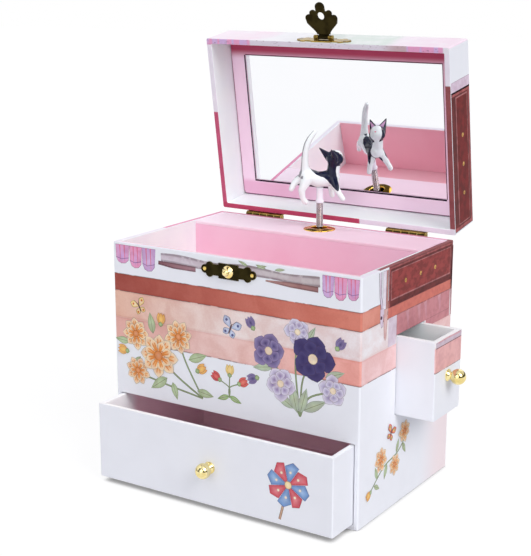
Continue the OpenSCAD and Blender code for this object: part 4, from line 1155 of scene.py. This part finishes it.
kitten()
SIDES = (-1, 1)
feature("kitten_nose", [bead(on_head(5.55, 0, -0.9), (0.5, 0.7, 0.5))],
        "nose_rose", (236, 132, 150), (224, 112, 134))
feature("kitten_eyes", [bead(on_head(2.9, s * 3.6, 1.6), (0.5, 0.55, 0.5), s * 0.3) for s in SIDES],
        "eye_pale", (250, 226, 226), (244, 214, 218))
feature("kitten_pupils", [bead(on_head(3.2, s * 3.75, 1.66), (0.3, 0.3, 0.3)) for s in SIDES],
        "pupil_ink", (16, 16, 30), (26, 26, 44), 0.1)
feature("kitten_ear_cups", [ear_cup(s) for s in SIDES],
        "ear_lilac", (216, 170, 206), (196, 150, 196), 0.3, 70)

# ---------- printed pictures: flowers, butterflies, bunting, a panelled board ----------

INK_LINE = (74, 52, 62)


def watercolour(name, streaked=False):
    """Painted shapes: colour from the mesh, blooms inside, pooled edge, broken pen outline."""
    paint = Paint(name, Roughness=0.42, Specular_IOR_Level=SHEEN_OF_PAPER / 2)
    ink = paint.add("ShaderNodeAttribute", attribute_name="ink").outputs
    wash, line = Signal(paint, ink["Color"]), Signal(paint, ink["Alpha"])
    rim = paint.signal("ShaderNodeAttribute", take="Fac", attribute_name="rim")
    if streaked:
        fibres = paint.noise(2.6, detail=5, warp=0.8, at=paint.stretch(1, 0.45, 1))
        blotch = (fibres + paint.noise(5, detail=4)).step(0.8, 1.2)
    else:
        blotch = paint.noise(5, detail=5, warp=0.6).step(0.35, 0.7)
    pigment = paint.math("ADD", blotch * 0.8, rim.step(0.9, 0.1) * 0.35, clamp=True)
    deep = paint.mix(1.0, wash, (188, 176, 178) if streaked else (236, 226, 230), "MULTIPLY")
    broken = paint.noise(4, detail=4).step(0.32, 0.46)
    return paint.paper(paint.mix(rim.step(0.62, 0.28) * line * broken,
                                 paint.mix(pigment, wash, deep), INK_LINE))


def between(a, b, share):
    """A point or colour that lies at a share of the way from a to b."""
    return tuple(x + (y - x) * share for x, y in zip(a, b))


def polar(u, v, angle, length):
    return u + length * cos(radians(angle)), v + length * sin(radians(angle))


class Print:
    """Thin painted shapes on one flat face, each laid a hair above the last."""
    PROUD, LAYER = 0.02, 0.002

    def __init__(self, origin, right, up):
        self.origin, self.right, self.up = Vector(origin), Vector(right), Vector(up)
        self.normal = self.right.cross(self.up)
        self.bm = bmesh.new()
        self.ink = self.bm.verts.layers.float_color.new("ink")
        self.rim = self.bm.verts.layers.float.new("rim")
        self.begin()

    def begin(self, base=0):
        """Starts a motif; one that lies over another gets a higher base."""
        self.height = self.PROUD + base

    def vert(self, u, v, colour, rim, line):
        vert = self.bm.verts.new(self.origin + u * self.right + v * self.up
                                 + self.height * self.normal)
        vert[self.ink] = (*srgb(*colour)[:3], line)
        vert[self.rim] = rim
        return vert

    def border(self, outer, inner):
        """Fills the strip between two rings of as many points."""
        for k in range(len(outer)):
            n = (k + 1) % len(outer)
            self.bm.faces.new((outer[k], outer[n], inner[n], inner[k]))

    def shape(self, outline, colour, heart=None, line=0.6, edge=0.5):
        """A filled outline, every part of which is seen from its middle."""
        self.height += self.LAYER
        heart = heart or colour
        if sum(a[0] * b[1] - b[0] * a[1] for a, b in zip(outline, outline[1:] + outline[:1])) < 0:
            outline = outline[::-1]
        middle = [sum(p[i] for p in outline) / len(outline) for i in (0, 1)]
        outer, inner = [], []
        for u, v in outline:
            share = min(0.6, edge / max(0.01, hypot(u - middle[0], v - middle[1])))
            outer.append(self.vert(u, v, colour, 0, line))
            inner.append(self.vert(*between((u, v), middle, share), between(colour, heart, share),
                                   1, line))
        centre = self.vert(*middle, heart, 1, line)
        self.border(outer, inner)
        for a, b in zip(inner, inner[1:] + inner[:1]):
            self.bm.faces.new((a, b, centre))

    def panel(self, low, high, colour, line=0.0, edge=0.6):
        """A rectangle with an even edge."""
        self.height += self.LAYER
        rings = []
        for inset, rim in ((0, 0), (edge, 1)):
            (a, b), (c, d) = (low[0] + inset, low[1] + inset), (high[0] - inset, high[1] - inset)
            rings.append([self.vert(u, v, colour, rim if line else 1, line)
                          for u, v in ((a, b), (c, b), (c, d), (a, d))])
        self.border(*rings)
        self.bm.faces.new(rings[1])

    def ribbon(self, points, width, colour, end=None, line=0.4):
        """A stroke along points, of one width or of a width at every point."""
        self.height += self.LAYER
        widths = width if isinstance(width, (list, tuple)) else [width] * len(points)
        rows = []
        for k, (u, v) in enumerate(points):
            before, after = points[max(0, k - 1)], points[min(len(points) - 1, k + 1)]
            du, dv = after[0] - before[0], after[1] - before[1]
            length = hypot(du, dv) or 1
            nu, nv = -dv / length * widths[k] / 2, du / length * widths[k] / 2
            tone = between(colour, end or colour, k / (len(points) - 1))
            rows.append([self.vert(u - nu, v - nv, tone, 0, line), self.vert(u, v, tone, 1, line),
                         self.vert(u + nu, v + nv, tone, 0, line)])
        for a, b in zip(rows, rows[1:]):
            for k in (0, 1):
                self.bm.faces.new((a[k], b[k], b[k + 1], a[k + 1]))

    def disc(self, u, v, radius, colour, heart=None, line=0.6, sides=14):
        outline = [(u + radius * cos(tau * k / sides), v + radius * sin(tau * k / sides))
                   for k in range(sides)]
        self.shape(outline, colour, heart, line, min(0.5, radius * 0.35))

    def petal(self, u, v, angle, length, width, colour, heart=None, line=0.6, blunt=0.62):
        """A drop that starts at a point and is widest at the blunt share of its length."""
        bend = log(0.5) / log(blunt)
        right = [(k / 7, sin(pi * (k / 7) ** bend)) for k in range(1, 7)]
        left = [(t, -bulge) for t, bulge in reversed(right)]
        turn = radians(angle)
        outline = [(u + length * a * cos(turn) - width / 2 * b * sin(turn),
                    v + length * a * sin(turn) + width / 2 * b * cos(turn))
                   for a, b in ((0, 0), *right, (1, 0), *left)]
        self.shape(outline, colour, heart, line, min(0.5, width * 0.2))

    def leaf(self, u, v, angle, length, width, colour=(176, 196, 150)):
        self.petal(u, v, angle, length, width, colour, (206, 220, 184), 0.5, 0.42)
        self.ribbon([(u, v), polar(u, v, angle, length * 0.9)], 0.3, (132, 150, 112), line=0)

    def flower(self, u, v, radius, tones, petals=6, turn=0.0, width=0.85, streak=None):
        """Open flower: two rings of petals with streaks, and a dotted core."""
        colour, heart, core = tones
        for ring, share in ((0, 1.0), (0.5, 0.72)):
            for k in range(petals):
                angle = turn + 360 * (k + ring) / petals + dice.uniform(-6, 6)
                length = radius * share * dice.uniform(0.9, 1.05)
                self.petal(*polar(u, v, angle, radius * 0.1), angle, length, radius * width * share,
                           colour, heart)
                for lean in (-9, 9) if streak else ():
                    self.ribbon([polar(u, v, angle + lean, length * 0.3),
                                 polar(u, v, angle + lean * 0.7, length * 0.86)],
                                [radius * 0.11, radius * 0.04], streak, line=0)
        self.disc(u, v, radius * 0.24, core, between(core, (255, 255, 255), 0.35))

    def bud(self, u, v, angle, size, colour, tip):
        """Closed bud in a green cup."""
        for lean in (-16, 16, 0):
            self.petal(u, v, angle + lean, size, size * 0.5, colour, tip, 0.5, 0.5)
        self.petal(*polar(u, v, angle, -size * 0.12), angle, size * 0.42, size * 0.42,
                   (150, 180, 122), (190, 208, 160), 0.5, 0.5)

    def stem(self, points, width=0.8):
        self.ribbon(curve(points), width, (150, 170, 124), line=0.5)

    def butterfly(self, u, v, size, turn, wing, heart, spot):
        """Four wings with a spot on each, a body and feelers."""
        for side in (1, -1):
            for spread, length, width in ((140, 0.72, 0.5), (48, 1.0, 0.62)):
                angle = turn + side * spread
                self.petal(u, v, angle, size * length, size * width, wing, heart, 0.8)
                self.disc(*polar(u, v, angle, size * length * 0.66), size * 0.1, spot, line=0.2)
            self.ribbon([polar(u, v, turn + side * 8, size * 0.3),
                         polar(u, v, turn + side * 24, size * 0.75)], 0.3, (88, 64, 72), line=0)
        self.ribbon([polar(u, v, turn + 180, size * 0.42), (u, v), polar(u, v, turn, size * 0.32)],
                    [size * 0.06, size * 0.15, size * 0.09], (104, 78, 84))

    def bunting(self, left, top, widths, drops, colours):
        """Rounded pennants in a row, with folds."""
        u = left
        for width, drop, (colour, heart) in zip(widths, drops, colours):
            def at(share, fall):
                return u + share * width, top - fall * drop
            self.shape([(u, top), at(0.02, 0.7), at(0.16, 0.92), at(0.4, 1), at(0.7, 0.97),
                        at(0.92, 0.8), (u + width, top)], colour, heart, 0.7)
            for share, reach in ((0.3, 0.8), (0.62, 0.9)):
                self.ribbon([at(share, 0), at(share + 0.03, reach)], [0.9, 0.3], (232, 130, 160),
                            line=0)
            self.ribbon([at(0.04, 0.68), at(0.4, 0.76), at(0.94, 0.66)], 0.35, (150, 110, 168),
                        line=0)
            u += width

    def finish(self, name, material, body, place=None):
        mesh = frozen(self.bm)
        mesh.materials.append(material)
        return link(name, mesh, body, place)


def curve(points, steps=6):
    """Smooth line through points."""
    ends = [points[0], *points, points[-1]]
    line = []
    for a, b, c, d in zip(ends, ends[1:], ends[2:], ends[3:]):
        for k in range(steps):
            t = k / steps
            line.append(tuple(
                0.5 * (2 * q + (r - p) * t + (2 * p - 5 * q + 4 * r - s) * t * t
                       + (3 * q - p - 3 * r + s) * t ** 3) for p, q, r, s in zip(a, b, c, d)))
    return [*line, points[-1]]


painted = watercolour("watercolour_print")
wood_print = watercolour("watercolour_wood", streaked=True)

CREAM, ORANGE, DEEP_ORANGE, YELLOW = ((252, 234, 206), (244, 178, 104), (224, 132, 66),
                                      (248, 214, 128))
MILK, GREY_LILAC, VIOLET = (238, 234, 246), (160, 146, 188), (84, 76, 124)
SKY_BLUE, ICE, SLATE = (176, 190, 220), (226, 230, 244), (96, 100, 150)
ROSE, LEAF, MAUVE = (214, 84, 88), (150, 186, 110), (208, 140, 146)
MARIGOLD = (CREAM, ORANGE, DEEP_ORANGE)
ROSETTE = ((240, 176, 204), (250, 220, 232), (236, 200, 120))
STREAK = (236, 150, 76)
PENNANTS = (((232, 168, 206), (214, 172, 224)), ((240, 160, 196), (226, 178, 222)),
            ((210, 172, 220), (226, 196, 232)))


def spot(u, v, scale):
    """Turns places in a motif into places on the page."""
    return lambda x, y: (u + x * scale, v + y * scale)


def leaves(page, at, scale, places, plump, *colour):
    """Leaves of a motif, each at x and y, with its angle and length."""
    for x, y, angle, length in places:
        page.leaf(*at(x, y), angle, length * scale, length * plump * scale, *colour)


def marigolds(page, u, v, scale=1.0):
    """Orange and cream bunch, leaning to the left."""
    at = spot(u, v, scale)
    page.stem([at(24, -20), at(6, -10), at(-14, 4), at(-28, 14)], 1.2 * scale)
    page.stem([at(24, -20), at(12, 0), at(6, 16)], 1.1 * scale)
    page.stem([at(24, -20), at(-4, -16), at(-26, -12)], 1.1 * scale)
    leaves(page, at, scale, ((-2, -12, 215, 15), (-22, -2, 238, 13), (14, 2, 20, 14),
                             (-12, 14, 100, 13), (20, -16, 352, 12), (-30, 6, 176, 11),
                             (2, -14, 288, 11)), 0.42)
    for x, y, radius, turn in ((-25, 12, 9.5, 8), (-24, -11, 8.5, 30), (7, 15, 9.5, 14),
                               (-8, 1, 13, 0)):
        page.flower(*at(x, y), radius * scale, MARIGOLD, 8, turn, 0.62, STREAK)
    for x, y, angle in ((20, -4, 30), (-31, 0, 172), (-6, 20, 85)):
        page.bud(*at(x, y), angle, 8 * scale, ORANGE, YELLOW)


def violets(page, u, v, scale=1.0):
    """Violet and milk-white bunch, upright."""
    at = spot(u, v, scale)
    for x, y in ((-18, 8), (14, 12), (24, -8), (-8, -6), (2, 22)):
        page.stem([at(4, -26), at(x * 0.4, (y - 20) * 0.5), at(x, y)], 1.1 * scale)
    leaves(page, at, scale, ((0, -22, 150, 16), (6, -22, 28, 17), (-14, 0, 190, 14),
                             (20, 0, 20, 13), (2, -24, 104, 18), (8, 18, 60, 11),
                             (4, -24, 75, 16)), 0.36, (182, 196, 176))
    for x, y, radius, turn, *pair in (
            (-17, 9, 10.5, 10, GREY_LILAC, VIOLET), (2, 23, 8, 40, MILK, GREY_LILAC),
            (25, -7, 8.5, 20, MILK, GREY_LILAC), (-9, -9, 9.5, 55, MILK, (150, 128, 178)),
            (12, 9, 13, 0, VIOLET, (66, 58, 104))):
        page.flower(*at(x, y), radius * scale, (*pair, (246, 226, 190)), 5, turn, 0.95)
    for x, y, angle in ((-27, 20, 120), (27, 17, 55), (-24, -8, 200)):
        page.bud(*at(x, y), angle, 8 * scale, GREY_LILAC, VIOLET)


def tulips(page, u, v):
    """Three small buds in red, green and yellow."""
    for angle, colour, tip in ((150, ROSE, (236, 130, 120)), (88, YELLOW, (250, 230, 170)),
                               (28, (226, 96, 92), (240, 150, 130))):
        end = polar(u, v, angle, 7)
        page.stem([(u, v - 6), (u, v), end], 0.7)
        page.bud(*end, angle, 7.5, colour, tip)
    for angle in (200, 340):
        page.leaf(u, v - 5, angle, 9, 3.4, LEAF)


def sprig(page, u, v, scale=1.0):
    """Lying sprig of small orange flowers with a bud and a butterfly."""
    at = spot(u, v, scale)
    page.stem([at(-24, -12), at(-8, -2), at(10, 2), at(24, 12)], scale)
    leaves(page, at, scale, ((-16, -7, 110, 9), (-4, -1, 250, 10), (8, 2, 70, 9),
                             (16, 6, 300, 9), (-20, -10, 330, 8)), 0.4)
    for x, y, radius in ((-12, 4, 7.5), (6, -5, 6.5), (18, 13, 7)):
        page.flower(*at(x, y), radius * scale, MARIGOLD, 7, 10 * x, 0.66, STREAK)
    page.bud(*at(-24, -12), 208, 7 * scale, ORANGE, YELLOW)
    page.butterfly(*at(0, 17), 7 * scale, 60, (222, 92, 92), (250, 214, 130), LEAF)


def motif(page, draw, *place):
    """Draws one motif that lies on the paper itself."""
    page.begin()
    draw(page, *place)


def front_print():
    """Front: bunting and a draped ribbon under the rim, two bunches, tulips, butterflies."""
    page = Print((0, -HALF_D, 0), (1, 0, 0), (0, 0, 1))
    top = RIM_Z - SKIN
    page.bunting(-83, top, (10.5, 9.5, 10), (11.5, 13.2, 14), PENNANTS)
    page.bunting(60.5, top, (7.5, 8, 7.6), (12.5, 13, 12), PENNANTS[::-1])
    band = [(x, 139.2 + 0.5 * sin(x / 9)) for x in range(-49, 60, 4)]
    page.ribbon(band, [5.4 + 0.6 * sin(x / 7) for x, _ in band], (222, 212, 222), (206, 196, 196),
                0.45)
    page.ribbon([(-51, 136.2), (-40, 135.6), (-24, 135.4)], [2.2, 3.4, 3], (134, 92, 98),
                (176, 138, 146), 0.5)
    page.ribbon([(24, 135.4), (40, 135.2), (58, 134.9)], [0.8, 3, 3.2], (190, 150, 142),
                (160, 118, 116))
    for x, angle in ((12, 160), (18, 12), (24, 168), (30, 8)):
        page.leaf(x, 142.2, angle, 7, 1.8, (190, 206, 168))
    motif(page, marigolds, -44, 78)
    motif(page, violets, 43, 86)
    motif(page, tulips, -1, 68)
    motif(page, Print.butterfly, 0, 104, 8.5, 70, SKY_BLUE, ICE, SLATE)
    motif(page, Print.butterfly, -66, 107, 7, 115, YELLOW, CREAM, DEEP_ORANGE)
    page.finish("front_print", painted, "case")


def drawer_print():
    """Paper windmill on a stick."""
    page = Print((0, corners("front_drawer_face")[0].y, 0), (1, 0, 0), (0, 0, 1))
    u, v, size = 53, 28, 13
    page.ribbon([(u, v), (u - 5.5, 6.5)], 1.6, (226, 196, 170), (206, 168, 140), 0.6)
    sails = (((214, 84, 96), (238, 150, 156)), ((112, 148, 204), (176, 206, 238)))
    for k in range(8):
        angle = 45 * k + 12
        page.shape([(u, v), polar(u, v, angle, size), polar(u, v, angle + 20, size * 1.08),
                    polar(u, v, angle + 44, size * 0.86)], *sails[k % 2], 0.7)
    for k in range(8):
        page.disc(*polar(u, v, 45 * k + 34, size * 0.6), 0.9, (252, 240, 214), line=0.3, sides=8)
    page.disc(u, v, 2.4, (248, 214, 150), (255, 240, 206), 0.7)
    page.finish("drawer_print", painted, "front_drawer")


def right_page(x=HALF_W):
    return Print((x, 0, 0), (0, 1, 0), (0, 0, 1))


def left_page():
    return Print((-HALF_W, 0, 0), (0, -1, 0), (0, 0, 1))


def board(low, high, frame_w, lift, field, dots, name, *body):
    """Panelled board: a dark frame, a raised middle with a lit edge, small dots like brass."""
    page = right_page()
    (a, b), (c, d) = low, high
    page.panel(low, high, (174, 92, 92), 0.9, 0.7)
    page.panel((a + frame_w - 0.9, b + 0.4), (c - frame_w + 1, d - frame_w + 1.2), (112, 40, 40))
    page.panel((a + frame_w, b + lift), (c - frame_w, d - frame_w), (190, 122, 122), 0.4, 0.5)
    page.panel((a + frame_w + 0.9, b + lift + 0.9), (c - frame_w - 0.6, d - frame_w - 0.6), field)
    for u, v in dots:
        page.disc(u, v, 1.5, (222, 158, 66), (252, 220, 140), 0.9)
        page.disc(u + 0.2, v - 0.2, 0.5, (170, 104, 44), line=0)
    page.finish(name, wood_print, *body)


def side_print():
    """Right side: a panelled board under the rim, a lilac post, washes and a sprig."""
    back = HALF_D - SKIN
    board(SIDE_BOARD, (back, RIM_Z - 0.5), 2.6, 3.6, (156, 62, 60),
          ((-6, 133.4), (13, 133.6), (32, 133.4)), "side_board_print", "case")
    page = right_page()
    page.panel((-26.4, 115.5), (back, 121.6), (216, 122, 108), 0.5, 0.5)
    page.panel((-26, 103.4), (-16, 115.4), (226, 212, 224))
    page.panel((-26, 98.8), (BAY_LOW.y + 0.6, 103.4), (226, 212, 224))
    page.panel((-16, 103.4), (HALF_D - 3.4, 115.4), MAUVE, 0.35)
    page.panel((BAY_HIGH.y - 0.6, 98.9), (HALF_D - 3.4, 103.4), MAUVE)
    for share in (0.2, 0.42, 0.55, 0.83):
        u = -16 + share * 66
        page.ribbon([(u, 115), (u + 2, 104)], [4, 1.5], (218, 164, 172), (208, 142, 150), line=0)
    page.begin(0.05)
    page.ribbon([(-36.4, RIM_Z - 1.2), (-35.8, 130), (-33.6, 122)], [3.4, 2.6, 3], (234, 224, 238),
                (224, 210, 228), 0.7)
    page.panel((-33.4, 119), (-27, RIM_Z - 1.2), (240, 232, 242), 0.5, 0.5)
    page.ribbon([(-28.2, RIM_Z - 1.4), (-28.4, 118)], 2.6, (196, 138, 134), (206, 150, 142), 0.7)
    page.shape([(-36, 123), (-32.6, 123), (-32, 117), (-32.8, 112.4), (-34.6, 112), (-36, 116)],
               (224, 206, 226), (236, 224, 238), 0.7)
    page.shape([(-31.6, 122), (-27.6, 122), (-27.4, 114), (-28.2, 105.2), (-29.8, 103.4),
                (-31.2, 106), (-31.8, 114)], (220, 176, 170), (236, 206, 204), 0.7)
    page.disc(-34.6, 117.8, 1.1, (92, 66, 84))
    motif(page, Print.ribbon, [(back, RIM_Z - 3), (back - 0.4, 124), (back - 0.2, 99)],
          [1.6, 2.2, 1.4], (150, 84, 88), (214, 160, 164), 0.5)
    motif(page, sprig, -20, 30, 0.95)
    page.finish("side_print", painted, "case")


def side_drawer_print():
    """Lilac strip and salmon block on the small drawer's face."""
    low, high = corners("side_drawer_face")
    page = right_page(high.x)
    page.panel((low.y + 0.5, 84.5), (high.y - 0.5, 98.6), (238, 184, 182))
    page.panel((low.y + 0.5, 98.6), (high.y - 0.5, high.z - 0.45), (214, 196, 208), 0.5, 0.4)
    page.ribbon([(low.y + 3, 101.6), (2, 101.9), (high.y - 2, 101.4)], 0.8, (222, 170, 178), line=0)
    page.ribbon([(low.y + 0.6, 98.7), (high.y - 0.6, 98.6)], 0.45, (128, 84, 92), line=0)
    page.finish("side_drawer_print", painted, "side_drawer")


def left_print():
    """Left side: bunting under the rim, a bunch low down and a butterfly on the stripes."""
    page = left_page()
    page.bunting(30, RIM_Z - SKIN, (8, 8, 8), (12, 13.5, 12), PENNANTS)
    page.bunting(-54, RIM_Z - SKIN, (8, 8, 8), (12.5, 13, 11.5), PENNANTS[::-1])
    motif(page, marigolds, -6, 62, 0.8)
    motif(page, tulips, 32, 40)
    motif(page, Print.butterfly, 28, 107, 8, 80, (196, 170, 216), (234, 222, 242), VIOLET)
    page.finish("left_print", painted, "case")


WREATH = 38, 36     # half width and half depth of the wreath


def lid_top_print():
    """A wreath round a butterfly, and a flower in each corner."""
    page = Print((0, 0, LID_TOP_Z), (1, 0, 0), (0, 1, 0))

    def at(angle):
        return WREATH[0] * cos(radians(angle)), WREATH[1] * sin(radians(angle))
    page.stem([at(22.5 * k) for k in range(17)], 1.2)
    for k in range(24):
        page.leaf(*at(15 * k), 15 * k + (55 if k % 2 else 125), 10, 3.8)
    page.begin(0.08)
    kinds = (MARIGOLD, 8), ((MILK, GREY_LILAC, VIOLET), 5), (ROSETTE, 6)
    for k, (tones, petals) in enumerate(kinds * 3):
        page.flower(*at(40 * k + 20), 8.5 if k % 2 else 10.5, tones, petals, 17 * k, 0.7)
    motif(page, Print.butterfly, 0, 0, 12, 65, SKY_BLUE, (232, 234, 246), SLATE)
    for sx in (-1, 1):
        for sy in (-1, 1):
            page.begin()
            page.leaf(sx * 70, sy * 44, 90 - 45 * sx * sy + (0 if sy > 0 else 180), 12, 4.4)
            page.flower(sx * 70, sy * 44, 6, ROSETTE, 6, 9, 0.7)
    page.finish("lid_top_print", painted, "lid", OPENED)


def lid_side_prints():
    """A board and a lilac post on the lid's right, and a sprig on a wash on its left."""
    board((-30, RIM_Z + 0.5), (HALF_D - SKIN, LID_TOP_Z - 0.6), 3.4, 5.6, (124, 30, 30),
          ((-2, RIM_Z + 14.5), (16, RIM_Z + 14.6), (34, RIM_Z + 14.5)),
          "lid_board_print", "lid", OPENED)
    page = right_page()
    page.panel((-36, RIM_Z + 0.6), (-29, LID_TOP_Z - 0.5), (226, 208, 224), 0.6, 0.5)
    page.finish("lid_side_print", painted, "lid", OPENED)
    page = left_page()
    page.panel((-50, RIM_Z + 1), (28, LID_TOP_Z - 1), (236, 206, 222), 0.5)
    sprig(page, -12, RIM_Z + 11, 0.62)
    page.finish("lid_left_print", painted, "lid", OPENED)


def mirror_shadow_lines():
    """Painted shade: a dark line where the mat's window meets the glass, for the gap's shadow and
    dark reflection, and a fine one round the mat.
    """
    mat_low, mat_high = closed_corners("mirror_mat")
    glass = closed_corners("mirror")[1]
    page = Print((0, 0, mat_low.z), (1, 0, 0), (0, -1, 0))
    u, v, w, h = glass.x + WINDOW_GAP, glass.y + WINDOW_GAP, mat_high.x, mat_high.y
    for low, high, colour in (
            ((-u - 0.9, -v - 0.9), (-u, v), (34, 24, 44)),
            ((-u - 0.9, -v - 1.1), (u, -v), (44, 26, 44)),
            ((-u, v), (u + 0.3, v + 0.45), (96, 36, 58)),
            ((u, -v), (u + 0.45, v), (96, 40, 60)),
            ((-w + 1, -h + 0.1), (w - 1, -h + 0.6), (120, 72, 100)),
            ((-w + 0.1, -h + 1), (-w + 0.5, h - 1), (190, 130, 160))):
        # each line is painted shade, a thin rectangle of dark colour
        page.panel(low, high, colour, edge=0.1)
    page.finish("mirror_edge_painted_shade", painted, "lid", OPENED)


mirror_shadow_lines()
front_print()
drawer_print()
side_print()
side_drawer_print()
left_print()
lid_top_print()
lid_side_prints()

# ---------- stage, camera and light ----------

FLOOR = (196, 196, 199)
TABLE_HALF, TABLE_Z = 4000, -0.05
FLOOR_SHARE = 0.75      # how much of the floor's look is its own glow, in view and reflections
FLOOR_GLOW = 1.18
CONTACT, CONTACT_SHARE = 6.5, 0.75  # reach of the contact shadow in mm, openness that ends it
SKY, SKY_LIGHT = (244, 246, 255), 0.36
WINDOWS = (  # lit panels that gloss shows above the horizon: middle and half width of the
    # azimuth (0 is the front, 90 the right), lowest and highest elevation, brightness
    (-75, 34, 8, 62, 1.0),
    (62, 30, 38, 78, 1.0),
    (178, 60, 20, 70, 0.8),
    (12, 9, 22, 46, 1.0),
)
SOFT = 3                # degrees over which a panel's edge fades
DIM = 0.1               # the studio between the panels, in reflections alone


def stage_floor():
    """Pale floor that keeps the object's shadow and shows white in the view and in reflections."""
    bm = bmesh.new()
    bm.faces.new([bm.verts.new((x * TABLE_HALF, y * TABLE_HALF, TABLE_Z))
                  for x, y in ((-1, -1), (1, -1), (1, 1), (-1, 1))])
    paint = Paint("floor_white", Roughness=0.9, Specular_IOR_Level=0.1)
    paint.set("Base Color", FLOOR)
    near = paint.add("ShaderNodeAmbientOcclusion")
    near.inputs["Distance"].default_value = CONTACT * MM
    clear = Signal(paint, near.outputs["AO"]).step(0, CONTACT_SHARE)
    glow = paint.signal("ShaderNodeEmission", (1, 1, 1, 1), clear * FLOOR_GLOW)
    seen = paint.rays("Camera", "Glossy", "Transmission")
    blend = paint.signal("ShaderNodeMixShader", seen * FLOOR_SHARE,
                         Signal(paint, paint.shader.outputs[0]), glow)
    paint.feed(paint.tree.nodes["Material Output"].inputs["Surface"], blend)
    link("studio_floor", to_mesh(bm, paint.material), None)


def studio_world():
    """White surroundings in the view, lit panels in reflections, even light on everything else."""
    world = scene.world = bpy.data.worlds.new("studio")
    world.use_nodes = True
    graph = Graph(world.node_tree)
    graph.tree.nodes.clear()

    def background(colour, strength):
        return graph.signal("ShaderNodeBackground", colour, strength)
    x, y, z = graph.split(graph.signal("ShaderNodeTexCoord", take="Generated"))
    azimuth = graph.math("ARCTAN2", x, y * -1) * degrees(1)
    elevation = graph.math("ARCSINE", z) * degrees(1)
    glow = elevation.step(2, -1)
    for middle, half, low, high, strength in WINDOWS:
        off = abs(graph.math("WRAP", azimuth - middle, 180, -180))
        lit = (off.step(half + SOFT, half - SOFT) * elevation.step(low - SOFT, low + SOFT)
               * elevation.step(high + SOFT, high - SOFT))
        glow = glow.either(lit * strength)
    panels = background((1, 1, 1, 1), glow.either(DIM))
    under = graph.signal("ShaderNodeMixShader", graph.rays("Glossy"), background(SKY, SKY_LIGHT),
                         panels)
    blend = graph.signal("ShaderNodeMixShader", graph.rays("Camera", "Transmission"), under,
                         background((1, 1, 1, 1), 1.0))
    graph.add("ShaderNodeOutputWorld", blend)


def sun(name, azimuth, elevation, strength, spread):
    """Soft white lamp from a compass direction: azimuth 0 is the front, 90 the right."""
    data = bpy.data.lights.new(name, "SUN")
    data.energy = strength
    data.angle = radians(spread)
    lamp = bpy.data.objects.new(name, data)
    lamp.rotation_euler = (radians(90 - elevation), 0, radians(azimuth))
    scene.collection.objects.link(lamp)


VIEW_AZ, VIEW_EL = 32.96, 13.93
CAMERA_AT = Vector((399.2, -635.8, 308.0))
FOCAL_PX, PHOTO_H, SENSOR = 1279.8, 556, 36


def photo_camera():
    """Camera at the photograph's place, fitted to the corners of the box."""
    data = bpy.data.cameras.new("photo_view")
    data.sensor_width = SENSOR
    data.lens = SENSOR * FOCAL_PX / PHOTO_H
    data.clip_start = 0.01
    camera = bpy.data.objects.new("photo_view", data)
    camera.location = CAMERA_AT * MM
    camera.rotation_euler = (radians(90 - VIEW_EL), 0, radians(VIEW_AZ))
    scene.collection.objects.link(camera)
    scene.camera = camera


stage_floor()
studio_world()
sun("key_light", 73, 38, 1.62, 36)
sun("front_light", 8, 20, 0.83, 50)
sun("top_light", 0, 80, 0.58, 60)
sun("back_light", 205, 24, 0.5, 60)
photo_camera()
scene.view_settings.view_transform = "Standard"
